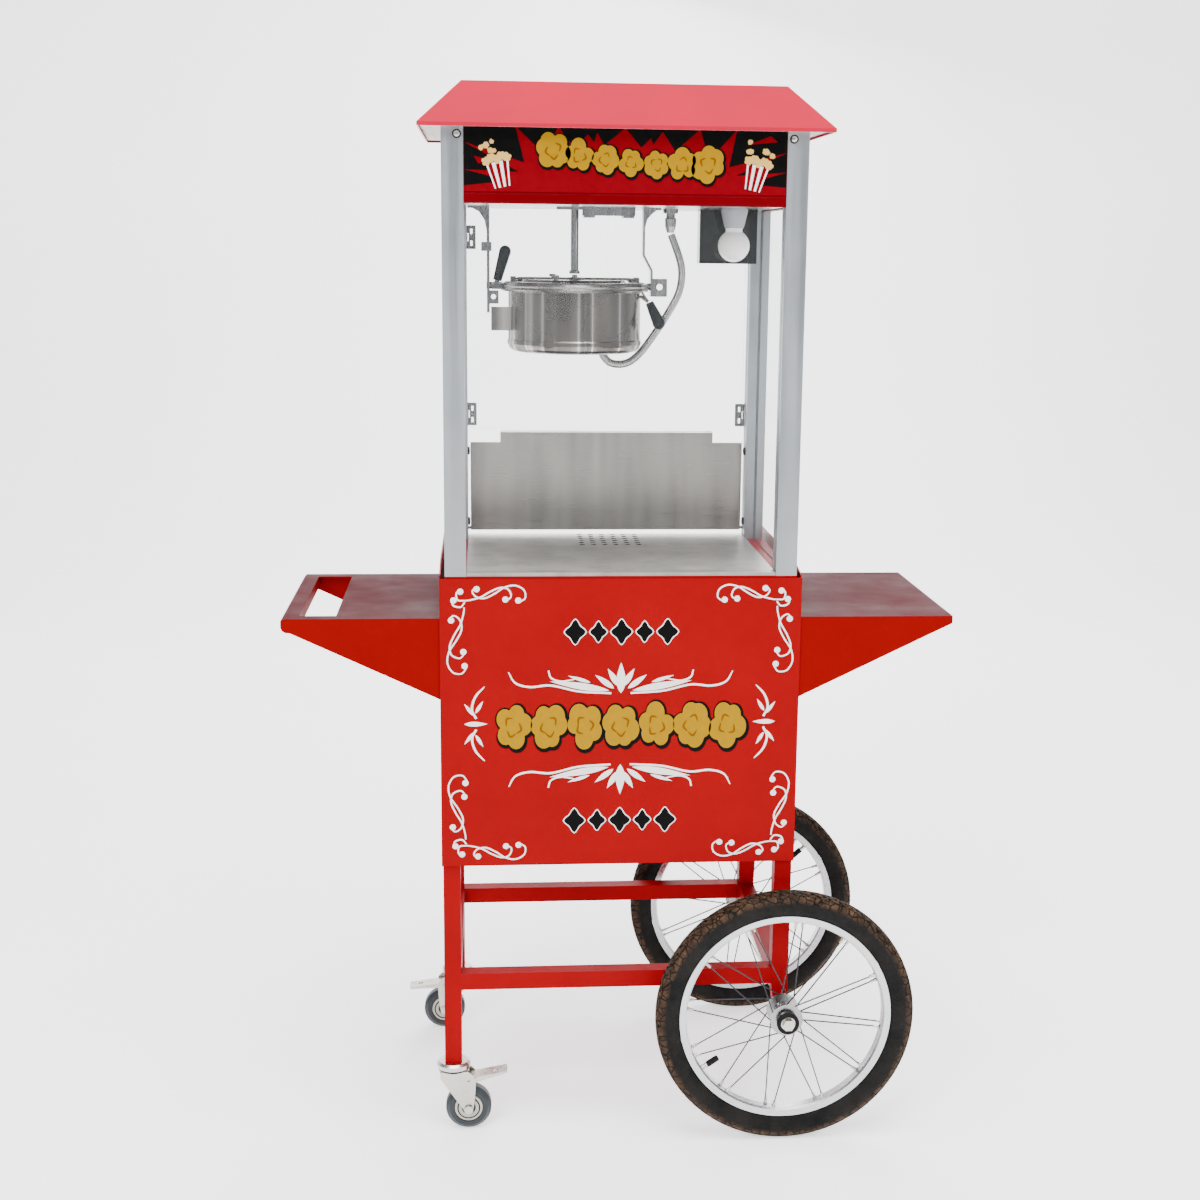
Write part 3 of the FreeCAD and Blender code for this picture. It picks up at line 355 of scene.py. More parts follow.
def worn_tyre():
    """Black sidewall; a dusty, cracked brown tread beyond the shoulder."""
    m, s = material("tyre_rubber", (0.02, 0.019, 0.018), 0.6, specular=0.12)
    nodes = m.node_tree.nodes
    coord = nodes.new("ShaderNodeTexCoord")
    split = nodes.new("ShaderNodeSeparateXYZ")
    link(m, coord.outputs["Object"], split.inputs[0])
    flat = nodes.new("ShaderNodeCombineXYZ")
    link(m, split.outputs["X"], flat.inputs["X"])
    link(m, split.outputs["Z"], flat.inputs["Z"])
    reach = nodes.new("ShaderNodeVectorMath")
    reach.operation = "LENGTH"
    link(m, flat.outputs[0], reach.inputs[0])
    tread = spread(m, reach.outputs["Value"], 0.0, 1.0, 0.1770, 0.1840)
    dust = noise(m, 60.0, detail=8.0, rough=0.75)
    brown = ramp(m, dust, [(0.34, (0.010, 0.006, 0.004)), (0.52, (0.042, 0.023, 0.013)),
                           (0.72, (0.11, 0.066, 0.04))])
    black = ramp(m, noise(m, 24.0), [(0.3, (0.003, 0.003, 0.003)), (0.7, (0.011, 0.010, 0.009))])
    cracks = nodes.new("ShaderNodeTexVoronoi")
    cracks.feature = "DISTANCE_TO_EDGE"
    cracks.inputs["Scale"].default_value = 82.0
    link(m, coord.outputs["Object"], cracks.inputs["Vector"])
    gaps = spread(m, cracks.outputs["Distance"], 0.0, 1.0, 0.02, 0.09)
    lined = blend_colour(m, gaps, (0.002, 0.0015, 0.001), brown)
    link(m, blend_colour(m, tread, black, lined), s.inputs["Base Color"])
    bump(m, s, gaps, 0.5, 0.0008)
    link(m, spread(m, dust, 0.5, 0.85), s.inputs["Roughness"])
    return m


def opal_glass():
    """White bulb glass, faintly lit."""
    m, s = material("opal_glass", (0.80, 0.80, 0.78), 0.12, ior=1.5)
    speckle(m, s, 30.0, 0.03, 0.03)
    s.inputs["Emission Color"].default_value = (1.0, 0.97, 0.92, 1)
    s.inputs["Emission Strength"].default_value = 0.25
    return m


def make_materials():
    flat_x, flat_z = (14.0, 900.0, 900.0), (55.0, 55.0, 1.5)
    turned, drawn, polish = (260.0, 900.0, 260.0), (90.0, 90.0, 9.0), (40.0, 40.0, 900.0)
    coarse, fine, wire = (40.0,) * 3, (120.0,) * 3, (400.0,) * 3
    shaft = middle("agitator")
    return {
        "red": enamel("red_enamel", (0.245, 0.0, 0.003), 0.35),
        "red_sign": enamel("sign_enamel", (0.115, 0.0, 0.003), 0.35),
        # painted shade: the wings' upward faces are painted far darker than their sides, though it is
        # one red paint
        "red_painted_shade_top": faced_enamel("wing_enamel_painted_shade", (0.20, 0.0, 0.001), (0.055, 0.001, 0.004),
                                 True, 0.01),
        "roof": faced_enamel("roof_enamel", (0.42, 0.006, 0.030), (0.70, 0.69, 0.66), False, 0.03),
        "post": brushed("satin_aluminium", (0.37, 0.39, 0.41), 0.42, flat_z, 0.02, 0.12, 0.06),
        "steel": brushed("brushed_steel", (0.42, 0.39, 0.36), 0.34, flat_x, 0.04, 0.32, 0.05,
                         aniso=0.6, bands=(26.0, 26.0, 3.0)),
        "steel_fine": brushed("fine_steel", (0.33, 0.33, 0.33), 0.25, drawn, 0.01, 0.3, 0.08),
        "kettle": spun_steel_painted_reflections((shaft.x, shaft.y, 0.0)),
        "rim_steel": brushed("rim_steel", (0.24, 0.23, 0.22), 0.24, coarse, 0.01, 0.35, 0.06),
        # painted dark reflection: the polished reflector is given a nearly black colour for the dim
        # inside it mirrors
        "mirror": brushed("mirror_steel", (0.035, 0.031, 0.028), 0.06, polish, 0.01, 0.08),
        "alloy": brushed("rim_alloy", (0.58, 0.59, 0.61), 0.3, turned, 0.04, 0.12, 0.08),
        "spoke": brushed("spoke_wire", (0.05, 0.05, 0.054), 0.4, wire, 0.04, 0.2),
        "zinc": brushed("yellow_zinc", (0.56, 0.54, 0.49), 0.27, fine, 0.02, 0.25, 0.05),
        "pane": clear_pane("clear_acrylic", (0.62, 0.68, 0.70)),
        "pane_edge": cut_edge("acrylic_edge", (0.34, 0.40, 0.41)),
        "black": plastic("black_phenolic", (0.002, 0.002, 0.002), 0.3, specular=0.15),
        "rubber": plastic("black_rubber", (0.004, 0.004, 0.004), 0.6, specular=0.15),
        "holder": plastic("grey_holder", (0.30, 0.31, 0.33), 0.4),
        "grey_tread": plastic("grey_tread", (0.020, 0.024, 0.028), 0.45),
        "cream": plastic("cream_hub", (0.42, 0.40, 0.34), 0.45),
        "tyre": worn_tyre(),
        "opal": opal_glass(),
        "white_ink": ink("white_ink", (0.84, 0.82, 0.80)),
        "black_ink": ink("black_ink", (0.003, 0.003, 0.003)),
        "yellow_ink": ink("yellow_ink", (0.31, 0.165, 0.0)),
        "gold_ink": ink("gold_ink", (0.17, 0.06, 0.0)),
        "red_ink": ink("red_ink", (0.15, 0.0, 0.004)),
        "cream_ink": ink("cream_ink", (0.60, 0.38, 0.11)),
    }


NODE_MATERIAL = {
    "cart_frame": "red", "front_panel": "red", "side_panel_left": "red", "side_panel_right": "red",
    "cabinet_floor": "red", "cart_deck": "red", "cabinet_door": "red", "wing_left": "red_painted_shade_top",
    "wing_right": "red_painted_shade_top", "machine_base": "red", "drawer": "steel", "tray": "steel",
    "post_front_left": "post", "post_front_right": "post", "post_rear_left": "post",
    "post_rear_right": "post", "pane_front": "pane", "pane_left": "pane", "pane_right": "pane",
    "door_left": "pane", "door_right": "pane", "door_hinges": "steel_fine",
    "door_left_hardware": "steel_fine", "door_right_hardware": "steel_fine",
    "serving_flap": "steel", "header_front": "red_sign", "header_sides": "red", "control_panel": "red",
    "switch_light": "black", "switch_motor": "black", "switch_heat": "black",
    "ceiling_plate": "steel_fine", "roof": "roof", "drive_mount": "steel_fine",
    "drive_shaft": "steel_fine", "hanger_left": "steel_fine", "hanger_right": "steel_fine",
    "kettle_pot": "kettle", "lid_front": "rim_steel", "lid_rear": "rim_steel", "agitator": "steel_fine",
    "grip_left": "black", "grip_right": "black", "hose": "steel_fine", "lamp_reflector": "mirror",
    "lamp_socket": "holder", "lamp_bulb": "opal", "axle": "zinc", "wheel_front": "alloy",
    "wheel_rear": "alloy", "tyre_front": "tyre", "tyre_rear": "tyre",
    "caster_front_mount": "zinc", "caster_front_fork": "zinc", "caster_front_wheel": "grey_tread",
    "caster_front_pedal": "zinc", "caster_rear_mount": "zinc", "caster_rear_fork": "zinc",
    "caster_rear_wheel": "grey_tread", "caster_rear_pedal": "zinc",
}


def paint_faces(name, key, chosen):
    """Gives one more material to the faces of a node that chosen(centre, normal) picks."""
    ob = NODES[name]
    ob.data.materials.append(MATS[key])
    for face in ob.data.polygons:
        if chosen(ob.matrix_world @ face.center, face.normal):
            face.material_index = len(ob.data.materials) - 1


def dress_nodes():
    """Every CAD node's material, then the sawn pane edges, painted shade on the tray's vent walls and
    the kettle's rim.
    """
    steep, vent_shade_margin, pot_rim = 0.5, 25 * MM, 1236.5 * MM
    for name, key in NODE_MATERIAL.items():
        mesh = NODES[name].data
        mesh.materials.clear()
        mesh.materials.append(MATS[key])
        mesh.polygons.foreach_set("material_index", [0] * len(mesh.polygons))
        if key == "pane":
            lo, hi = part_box(name)
            across = 0 if hi.x - lo.x < hi.y - lo.y else 1
            paint_faces(name, "pane_edge", lambda at, normal: abs(normal[across]) < steep)
    lo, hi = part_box("tray")
    # painted shade: the tray's inner upright faces get black rubber, for the shade inside its vents
    paint_faces("tray", "rubber", lambda at, normal: abs(normal.z) < steep and min(
        at.x - lo.x, hi.x - at.x, at.y - lo.y, hi.y - at.y) > vent_shade_margin)
    paint_faces("kettle_pot", "rim_steel", lambda at, normal: at.z > pot_rim)


# ---------------------------------------------------------------- pieces

def add_piece(name, mesh, key, body, place=(0, 0, 0)):
    """Puts a finished mesh in the scene, riding on a body."""
    mesh.materials.append(MATS[key])
    ob = bpy.data.objects.new(name, mesh)
    bpy.context.scene.collection.objects.link(ob)
    ob.location = place
    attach(ob, body)
    return ob


def inlay(name, outlines, face_y, layer, key):
    """Printed shapes standing a hair proud of a front-facing panel; outlines are (x, z) in mm."""
    thick = 0.3
    curve = bpy.data.curves.new(name, "CURVE")
    curve.dimensions, curve.fill_mode, curve.extrude = "2D", "BOTH", thick / 2 * MM
    for points in outlines:
        spline = curve.splines.new("POLY")
        spline.points.add(len(points) - 1)
        for p, (x, z) in zip(spline.points, points):
            p.co = (x * MM, z * MM, 0, 1)
        spline.use_cyclic_u = True
    temp = bpy.data.objects.new(name + "_curve", curve)
    bpy.context.scene.collection.objects.link(temp)
    bpy.context.view_layer.update()
    mesh = bpy.data.meshes.new_from_object(temp.evaluated_get(bpy.context.evaluated_depsgraph_get()))
    bpy.data.objects.remove(temp)
    mesh.name = name
    mesh.materials.clear()
    y = face_y - (layer + 0.5) * thick
    mesh.transform(Matrix(((1, 0, 0, 0), (0, 0, -1, y * MM), (0, 1, 0, 0), (0, 0, 0, 1))))
    bm = bmesh.new()
    bm.from_mesh(mesh)
    bmesh.ops.remove_doubles(bm, verts=bm.verts, dist=1e-6)
    bmesh.ops.recalc_face_normals(bm, faces=bm.faces)
    bm.to_mesh(mesh)
    bm.free()
    return add_piece(name, mesh, key, "cart")


def smooth_path(points):
    """Catmull-Rom curve through the points."""
    steps = 10
    pts = [Vector(p) for p in points]
    ext = [pts[0] * 2 - pts[1]] + pts + [pts[-1] * 2 - pts[-2]]
    out = []
    for i in range(1, len(ext) - 2):
        p0, p1, p2, p3 = ext[i - 1:i + 3]
        for k in range(steps):
            t = k / steps
            out.append(0.5 * (2 * p1 + (p2 - p0) * t + (2 * p0 - 5 * p1 + 4 * p2 - p3) * t * t
                              + (3 * p1 - p0 - 3 * p2 + p3) * t ** 3))
    return out + [pts[-1]]


def stroke(points, width, taper):
    """Outline of a brush stroke along a smooth path; taper is how full each end stays."""
    path = smooth_path(points)
    left, right = [], []
    for i, p in enumerate(path):
        d = (path[min(i + 1, len(path) - 1)] - path[max(i - 1, 0)]).normalized()
        n = Vector((-d.y, d.x))
        t = i / (len(path) - 1)
        swell = math.sin(math.pi * t) ** 0.6
        end = taper[0] * (1 - t) + taper[1] * t
        w = width / 2 * (end + (1 - end) * swell)
        left.append(tuple(p + n * w))
        right.append(tuple(p - n * w))
    return left + right[::-1]


def disc(cx, cz, r):
    steps = 20
    return [(cx + r * math.cos(2 * math.pi * k / steps), cz + r * math.sin(2 * math.pi * k / steps))
            for k in range(steps)]


def leaf(x0, z0, x1, z1, width):
    """Pointed petal from one point to another."""
    steps = 10
    a, b = Vector((x0, z0)), Vector((x1, z1))
    d = b - a
    n = Vector((-d.y, d.x)).normalized() * width / 2
    side = [math.sin(math.pi * (k / steps) ** 0.8) for k in range(steps + 1)]
    up = [tuple(a + d * (k / steps) + n * side[k]) for k in range(steps + 1)]
    down = [tuple(a + d * (k / steps) - n * side[k]) for k in range(steps - 1, 0, -1)]
    return up + down


def puff(cx, cz, r, seed, grow=0.0, tall=1.0):
    """Outline of one popped kernel: round lobes of uneven size about a middle."""
    steps = 84
    dice = random.Random(seed)
    count = 5 + seed % 2
    lobes = []
    for k in range(count):
        a = 2 * math.pi * (k + dice.uniform(-0.18, 0.18)) / count + seed
        lobes.append((0.52 * math.cos(a), 0.52 * math.sin(a), dice.uniform(0.36, 0.5)))
    out = []
    for k in range(steps):
        a = 2 * math.pi * k / steps
        c, s = math.cos(a), math.sin(a)
        reach = 0.5
        for x, z, rr in lobes:
            mid = x * c + z * s
            gap = rr * rr - (x * x + z * z - mid * mid)
            if gap > 0:
                reach = max(reach, mid + math.sqrt(gap))
        reach = r * reach + grow
        out.append((cx + reach * c, cz + reach * s * tall))
    return out


def creases(cx, cz, r, seed, tall):
    """Short curved folds on a popped kernel."""
    dice = random.Random(seed * 7 + 1)
    shapes = []
    for k in range(3):
        a = 2 * math.pi * k / 3 + seed + dice.uniform(-0.4, 0.4)
        arc = []
        for t in (-1, 0, 1):
            b, rr = a + 0.75 * t, r * (0.34 + 0.10 * (t == 0))
            arc.append((cx + rr * math.cos(b), cz + rr * math.sin(b) * tall))
        shapes.append(stroke(arc, r * 0.11, (0.15, 0.15)))
    return shapes


def placed(shapes, cx, cz, sx, sz):
    """The shapes moved to a place, and mirrored where sx or sz is -1."""
    return [[(cx + sx * x, cz + sz * z) for x, z in s] for s in shapes]


def corner_scroll():
    """Scrollwork for a corner at the origin, running along +x and -z."""
    shapes = []
    width, ball_r, taller = 2.3, 4.4, 1.13

    def volute(points, *balls):
        shapes.append(stroke(points, width, (0.75, 0.75)))
        for x, z in balls:
            shapes.append(disc(x, z, ball_r))

    def upright(points):
        return [(-z * taller, -x * taller) for x, z in points]

    outer = [(114, -33), (121, -27), (119, -16), (107, -9.5), (92, -12), (78, -21), (64, -27.5),
             (52, -25.5), (46.5, -18), (51, -12)]
    inner = [(95, -31), (101, -25), (97, -15), (86, -12.5), (72, -18), (58, -26), (44, -30), (36, -31)]
    volute(outer, (111, -31), (52.5, -14.5))
    volute(inner, (93, -29.5))
    volute(upright(outer), (35, -125.5), (16.4, -59.3))
    volute(upright(inner), (33.3, -105))
    volute([(36, -31), (26, -30), (24, -21), (29, -15)], (29.5, -18))
    volute([(36, -33), (30, -40), (20, -38), (17, -31)], (20, -30.5))
    return shapes


def flourish():
    """Long flourish under a five-petalled flower, pointing up, 320 mm wide."""
    half = [
        leaf(3, 3, 19, 29, 8.5),
        leaf(10, 0, 37, 20, 8),
        leaf(17, -3, 102, 11, 10),
        leaf(44, 9, 76, 19, 5),
        stroke([(14, -7), (60, -4), (100, 5), (130, 3), (151, 9), (161, 25)], 3.0, (0.9, 0.35)),
        stroke([(66, 14), (86, 11), (100, 16), (104, 27)], 2.6, (0.4, 0.8)),
    ]
    return half + placed(half, 0, 0, -1, 1) + [leaf(0, -7, 0, 38, 13)]


def side_fleur():
    """Upright spray for the left end of the middle row."""
    half = [stroke([(-3, 8), (-9, 22), (-4, 40), (9, 55)], 3.2, (1.0, 0.25)),
            leaf(-6, 12, -20, 30, 5), leaf(-4, 16, 7, 34, 5)]
    return half + placed(half, 0, 0, 1, -1) + [leaf(-20, 0, 13, 0, 7)]


def quatrefoil(cx, cz, w, h, grow=0.0):
    """Small printer's ornament: four lobes and four points."""
    out = []
    steps = 48
    for k in range(steps):
        a = 2 * math.pi * k / steps
        r = 0.66 + 0.34 * abs(math.cos(2 * a)) ** 1.4 - 0.10 * abs(math.sin(4 * a))
        out.append((cx + (w / 2 * r + grow) * math.cos(a), cz + (h / 2 * r + grow) * math.sin(a)))
    return out


def paint_art(tag, shapes, face, key):
    """One inlay for each shape, each a little in front of the one before where they cross."""
    for n, shape in enumerate(shapes):
        inlay(f"{tag}_{n}", [shape], face, 0.08 * n, key)


def kernel(tag, k, seed, at, r, tall, rim, face, layer):
    """One popped kernel with a dark rim that shows below and to its right, and its folds."""
    x, z = at
    rim_x, rim_z, rim_grow = rim
    dark = puff(x + rim_x, z + rim_z, r, seed, rim_grow, tall)
    inlay(f"{tag}_rim_{k}", [dark], face, layer + 0.2 * (k % 2), "black_ink")
    inlay(f"{tag}_{k}", [puff(x, z, r, seed, 0, tall)], face, layer + 1.4, "yellow_ink")
    for n, fold in enumerate(creases(x, z, r, seed, tall)):
        inlay(f"{tag}_fold_{k}_{n}", [fold], face, layer + 2.4, "gold_ink")


def front_artwork():
    """Corner scrolls, flourishes and rows of plain ornament on the cart's front."""
    lo, hi = in_mm("front_panel")
    face, level = lo.y, (lo.z + hi.z) / 2
    for k, (x, z, sx, sz) in enumerate(((lo.x, hi.z, 1, 1), (hi.x, hi.z, -1, 1),
                                        (lo.x, lo.z, 1, -1), (hi.x, lo.z, -1, -1))):
        paint_art(f"art_corner_{k}", placed(corner_scroll(), x, z, sx, sz), face, "white_ink")
    for tag, lift, sz in (("upper", 52, 1), ("lower", -68, -1)):
        paint_art(f"art_flourish_{tag}", placed(flourish(), 0, level + lift, 1, sz), face, "white_ink")
    fleur_x, fleur_lift = 204, 1
    for tag, side in (("l", -1), ("r", 1)):
        spray = placed(side_fleur(), side * fleur_x, level + fleur_lift, -side, 1)
        paint_art(f"art_fleur_{tag}", spray, face, "white_ink")
    foil_pitch, foil_sizes, foil_taller, foil_rim = 33, (30, 24), 6, 1.6
    for row, lift in (("top", 135), ("bottom", -145)):
        for k in range(5):
            x, z, w = foil_pitch * (k - 2), level + lift, foil_sizes[k % 2]
            h = w + foil_taller
            inlay(f"art_{row}_rim_{k}", [quatrefoil(x, z, w, h, foil_rim)], face, 0, "white_ink")
            inlay(f"art_{row}_foil_{k}", [quatrefoil(x, z, w, h)], face, 1, "black_ink")
    kernel_pitch, kernel_lift, kernel_r = 51.5, -3, 28
    for k in range(7):
        kernel("art_kernel", k, k, (kernel_pitch * (k - 3), level + kernel_lift), kernel_r, 1.28,
               (1.2, -1.6, 3.4), face, 0)


def popcorn_box(side, cx, cz, tilt, face):
    """A striped box leaning by tilt, heaped with kernels, with more flying over it."""
    def turned(points):
        c, s = math.cos(tilt), math.sin(tilt)
        return [(cx + x * c - z * s, cz + x * s + z * c) for x, z in points]

    top, foot, height = 15.5, 10.5, 34
    stripe_top, stripe_foot, stripe_spread = 2.6, 1.8, 0.66
    inlay(f"box_{side}_card", [turned([(-top, height / 2), (-foot, -height / 2), (foot, -height / 2),
                                       (top, height / 2)])], face, 2, "white_ink")
    for k in (-1, 0, 1):
        a, b = k * top * stripe_spread, k * foot * stripe_spread
        stripe = [(a - stripe_top, height / 2), (b - stripe_foot, -height / 2),
                  (b + stripe_foot, -height / 2), (a + stripe_top, height / 2)]
        inlay(f"box_{side}_stripe_{k + 1}", [turned(stripe)], face, 3, "red_ink")
    for k in range(5):
        x, z = 7.2 * (k - 2), height / 2 + 3.5 + 3 * (k % 2)
        inlay(f"box_{side}_heap_{k}", [turned(puff(x, z, 6.6, k))], face, 4 + 0.2 * k, "cream_ink")
    for k in range(6):
        x, z = random.uniform(-20, 24), random.uniform(31, 47)
        flying = turned(puff(x, z, random.uniform(3.4, 4.8), k))
        inlay(f"box_{side}_flying_{k}", [flying], face, 3 + 0.2 * k, "cream_ink")


def header_artwork():
    """Black sign with a red burst, a run of kernels and two striped boxes."""
    margin, foot_strip = 0.5, 15.5
    lo, hi = in_mm("header_front")
    face = machine_front()
    z0, z1, x1 = lo.z + foot_strip, hi.z - margin, hi.x - margin
    inlay("sign_ground", [[(-x1, z0), (x1, z0), (x1, z1), (-x1, z1)]], face, 0, "black_ink")
    tips = [(-x1, 1381), (-160, 1388), (-x1, 1402), (-146, 1400), (-x1, 1438), (-138, 1412), (-150, z1),
            (-112, 1424), (-92, z1), (-70, 1432), (-44, z1), (-30, 1436), (-2, z1), (20, 1434),
            (46, z1), (66, 1430), (100, z1), (112, 1418), (150, z1), (140, 1410), (x1, 1430),
            (150, 1399), (x1, 1404), (164, 1388), (x1, 1384), (x1, z0), (-x1, z0)]
    inlay("sign_burst", [tips], face, 1, "red_ink")
    shards = (("black_ink", [(-60, z1), (-44, 1440), (-38, z1)]),
              ("black_ink", [(28, z1), (36, 1438), (52, z1)]),
              ("red_ink", [(-206, 1420), (-178, 1414), (-200, 1410)]),
              ("red_ink", [(196, 1452), (166, 1440), (206, 1444)]))
    for n, (key, shard) in enumerate(shards):
        inlay(f"sign_shard_{n}", [shard], face, 2, key)
    pitch, shift, row_z = 35, 6, 1414
    for k in range(7):
        t = (k - 3) / 3
        at = (pitch * (k - 3) + shift, row_z + 7 * t * t - 8 * t)
        kernel("sign_kernel", k, k + 3, at, 17.5 + 7 * abs(t) ** 1.5, 1.1, (1.0, -1.2, 2.6), face, 3)
    box_z = 1396
    popcorn_box("l", -171, box_z, 0.22, face)
    popcorn_box("r", 176, box_z, -0.22, face)


# ---------------------------------------------------------------- hose

HOSE_ROUTE = [(80.0, 1320.7), (90.0, 1296.5), (98.0, 1270.0), (95.0, 1239.0), (81.0, 1212.5),
              (65.0, 1187.0), (48.5, 1163.0), (34.5, 1145.0), (18.0, 1132.5), (-1.0, 1131.0),
              (-13.0, 1136.5), (-19.5, 1146.0)]
HOSE_Y = -18.0
HOSE_R = 5.75


def nurbs_points(route):
    """Points along the smooth spline that has the route's points as its control points."""
    curve = bpy.data.curves.new("route", "CURVE")
    curve.dimensions, curve.resolution_u = "3D", 48
    spline = curve.splines.new("NURBS")
    spline.points.add(len(route) - 1)
    for p, place in zip(spline.points, route):
        p.co = (*place, 1)
    spline.order_u = 3
    spline.use_endpoint_u = True
    temp = bpy.data.objects.new("route", curve)
    bpy.context.scene.collection.objects.link(temp)
    bpy.context.view_layer.update()
    mesh = bpy.data.meshes.new_from_object(temp.evaluated_get(bpy.context.evaluated_depsgraph_get()))
    points = [v.co.copy() for v in mesh.vertices]
    bpy.data.objects.remove(temp)
    return points


def make_hose():
    """Spiral-wound armour: a tube whose radius ripples along its length."""
    points = nurbs_points([(x * MM, HOSE_Y * MM, z * MM) for x, z in HOSE_ROUTE])
    pitch, sides, waist = 3.2 * MM, 20, 0.90
    across = Vector((0, 1, 0))
    bm = bmesh.new()
    rings, length = [], 0.0
    for i, p in enumerate(points):
        if i:
            length += (p - points[i - 1]).length
        d = (points[min(i + 1, len(points) - 1)] - points[max(i - 1, 0)]).normalized()
        other = d.cross(across).normalized()
        phase = (length / pitch) % 1.0
        r = HOSE_R * MM * (waist + (1 - waist) * math.sin(math.pi * phase) ** 0.5)
        ring = [bm.verts.new(p + (across * math.cos(a) + other * math.sin(a)) * r)
                for a in (2 * math.pi * k / sides for k in range(sides))]
        rings.append(ring)
    for a, b in zip(rings, rings[1:]):
        for k in range(sides):
            f = bm.faces.new((a[k], a[(k + 1) % sides], b[(k + 1) % sides], b[k]))
            f.smooth = True
    bm.faces.new(rings[0][::-1])
    bm.faces.new(rings[-1])
    bmesh.ops.recalc_face_normals(bm, faces=bm.faces)
    mesh = bpy.data.meshes.new("hose_armour")
    bm.to_mesh(mesh)
    bm.free()
    mesh.materials.append(MATS["steel_fine"])
    ob = bpy.data.objects.new("hose_armour", mesh)
    bpy.context.scene.collection.objects.link(ob)
    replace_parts(ob, "hose")
    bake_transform(ob)


# ---------------------------------------------------------------- tyres and trim

def rubber_ring(bm, section, turns):
    """Turns a closed section of (radius, y) in mm about the Y axis."""
    rings = []
    for k in range(turns):
        a = 2 * math.pi * k / turns
        c, s = math.cos(a) * MM, math.sin(a) * MM
        rings.append([bm.verts.new((r * c, y * MM, r * s)) for r, y in section])
    n = len(section)
    for k in range(turns):
        a, b = rings[k], rings[(k + 1) % turns]
        for j in range(n):
            f = bm.faces.new((a[j], a[(j + 1) % n], b[(j + 1) % n], b[j]))
            f.smooth = True


def tread_row(bm, row, blocks):
    """Slanted blocks round the tyre; a row is its edges, its lag in blocks and its edges' radii."""
    y0, y1, lag, r0, r1 = row
    block = 2 * math.pi / blocks
    start, end, slant, narrower = 0.12, 0.84, 0.22 * block, 0.94
    sunk, proud = -0.6, 3.0
    mid = (y0 + y1) / 2
    for k in range(blocks):
        a0, a1 = block * (k + lag + start), block * (k + lag + end)
        corners = []
        for lift, width in ((sunk, 1.0), (proud, narrower)):
            for a, y, r in ((a0, y0, r0), (a1, y0, r0), (a1 + slant, y1, r1), (a0 + slant, y1, r1)):
                reach = (r + lift) * MM
                place = (reach * math.cos(a), (mid + (y - mid) * width) * MM, reach * math.sin(a))
                corners.append(bm.verts.new(place))
        low, high = corners[:4], corners[4:]
        bm.faces.new(low[::-1])
        bm.faces.new(high)
        for j in range(4):
            bm.faces.new((low[j], low[(j + 1) % 4], high[(j + 1) % 4], high[j]))


def make_tyre(name, node, body):
    """Tyre with a rounded sidewall and six rows of tread blocks, made about its own centre."""
    half = [(157.4, -10.5), (160.5, -13.2), (163.0, -14.8), (167.0, -16.4), (172.0, -17.6),
            (177.0, -18.2), (181.0, -18.0), (184.0, -17.0), (186.6, -14.6), (188.4, -11.0),
            (189.3, -6.0), (189.6, 0.0)]
    rows = ((-18.0, -13.2, 0.25, 179.4, 186.4), (-12.2, -7.2, 0.0, 187.0, 188.4),
            (-5.8, -0.7, 0.5, 188.6, 188.9), (0.7, 5.8, 0.0, 188.9, 188.6),
            (7.2, 12.2, 0.5, 188.4, 187.0), (13.2, 18.0, 0.25, 186.4, 179.4))
    bm = bmesh.new()
    rubber_ring(bm, half + [(r, -y) for r, y in half[-2::-1]], 144)
    for row in rows:
        tread_row(bm, row, 66)
    bmesh.ops.recalc_face_normals(bm, faces=bm.faces)
    mesh = bpy.data.meshes.new(name)
    bm.to_mesh(mesh)
    bm.free()
    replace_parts(add_piece(name, mesh, "tyre", body, middle(node)), node)


def lathe(name, profile, centre, axis, key, body, sides=40):
    """Turned piece; profile is (radius, height) in mm, closed on the axis or on itself."""
    on_axis = 1e-6
    bm = bmesh.new()
    rings = []
    for r, h in profile:
        if r < on_axis:
            rings.append([bm.verts.new((0, 0, h * MM))])
        else:
            rings.append([bm.verts.new((r * MM * math.cos(a), r * MM * math.sin(a), h * MM))
                          for a in (2 * math.pi * k / sides for k in range(sides))])
    for a, b in zip(rings, rings[1:]):
        for k in range(sides):
            corners = [a[k % len(a)], a[(k + 1) % len(a)], b[(k + 1) % len(b)], b[k % len(b)]]
            corners = list(dict.fromkeys(corners))
            if len(corners) > 2:
                bm.faces.new(corners)
    bmesh.ops.recalc_face_normals(bm, faces=bm.faces)
    mesh = bpy.data.meshes.new(name)
    bm.to_mesh(mesh)
    bm.free()
    turn = Vector(axis).to_track_quat("Z", "X").to_matrix().to_4x4()
    mesh.transform(Matrix.Translation(Vector(centre) * MM) @ turn)
    mesh.set_sharp_from_angle(angle=math.radians(32.0))
    mesh.polygons.foreach_set("use_smooth", [True] * len(mesh.polygons))
    return add_piece(name, mesh, key, body)


def loose_parts(bm):
    """Groups of vertices that edges join."""
    seen, parts = set(), []
    for v in bm.verts:
        if v in seen:
            continue
        seen.add(v)
        group, open_ends = [v], [v]
        while open_ends:
            for e in open_ends.pop().link_edges:
                for w in e.verts:
                    if w not in seen:
                        seen.add(w)
                        group.append(w)
                        open_ends.append(w)
        parts.append(group)
    return parts


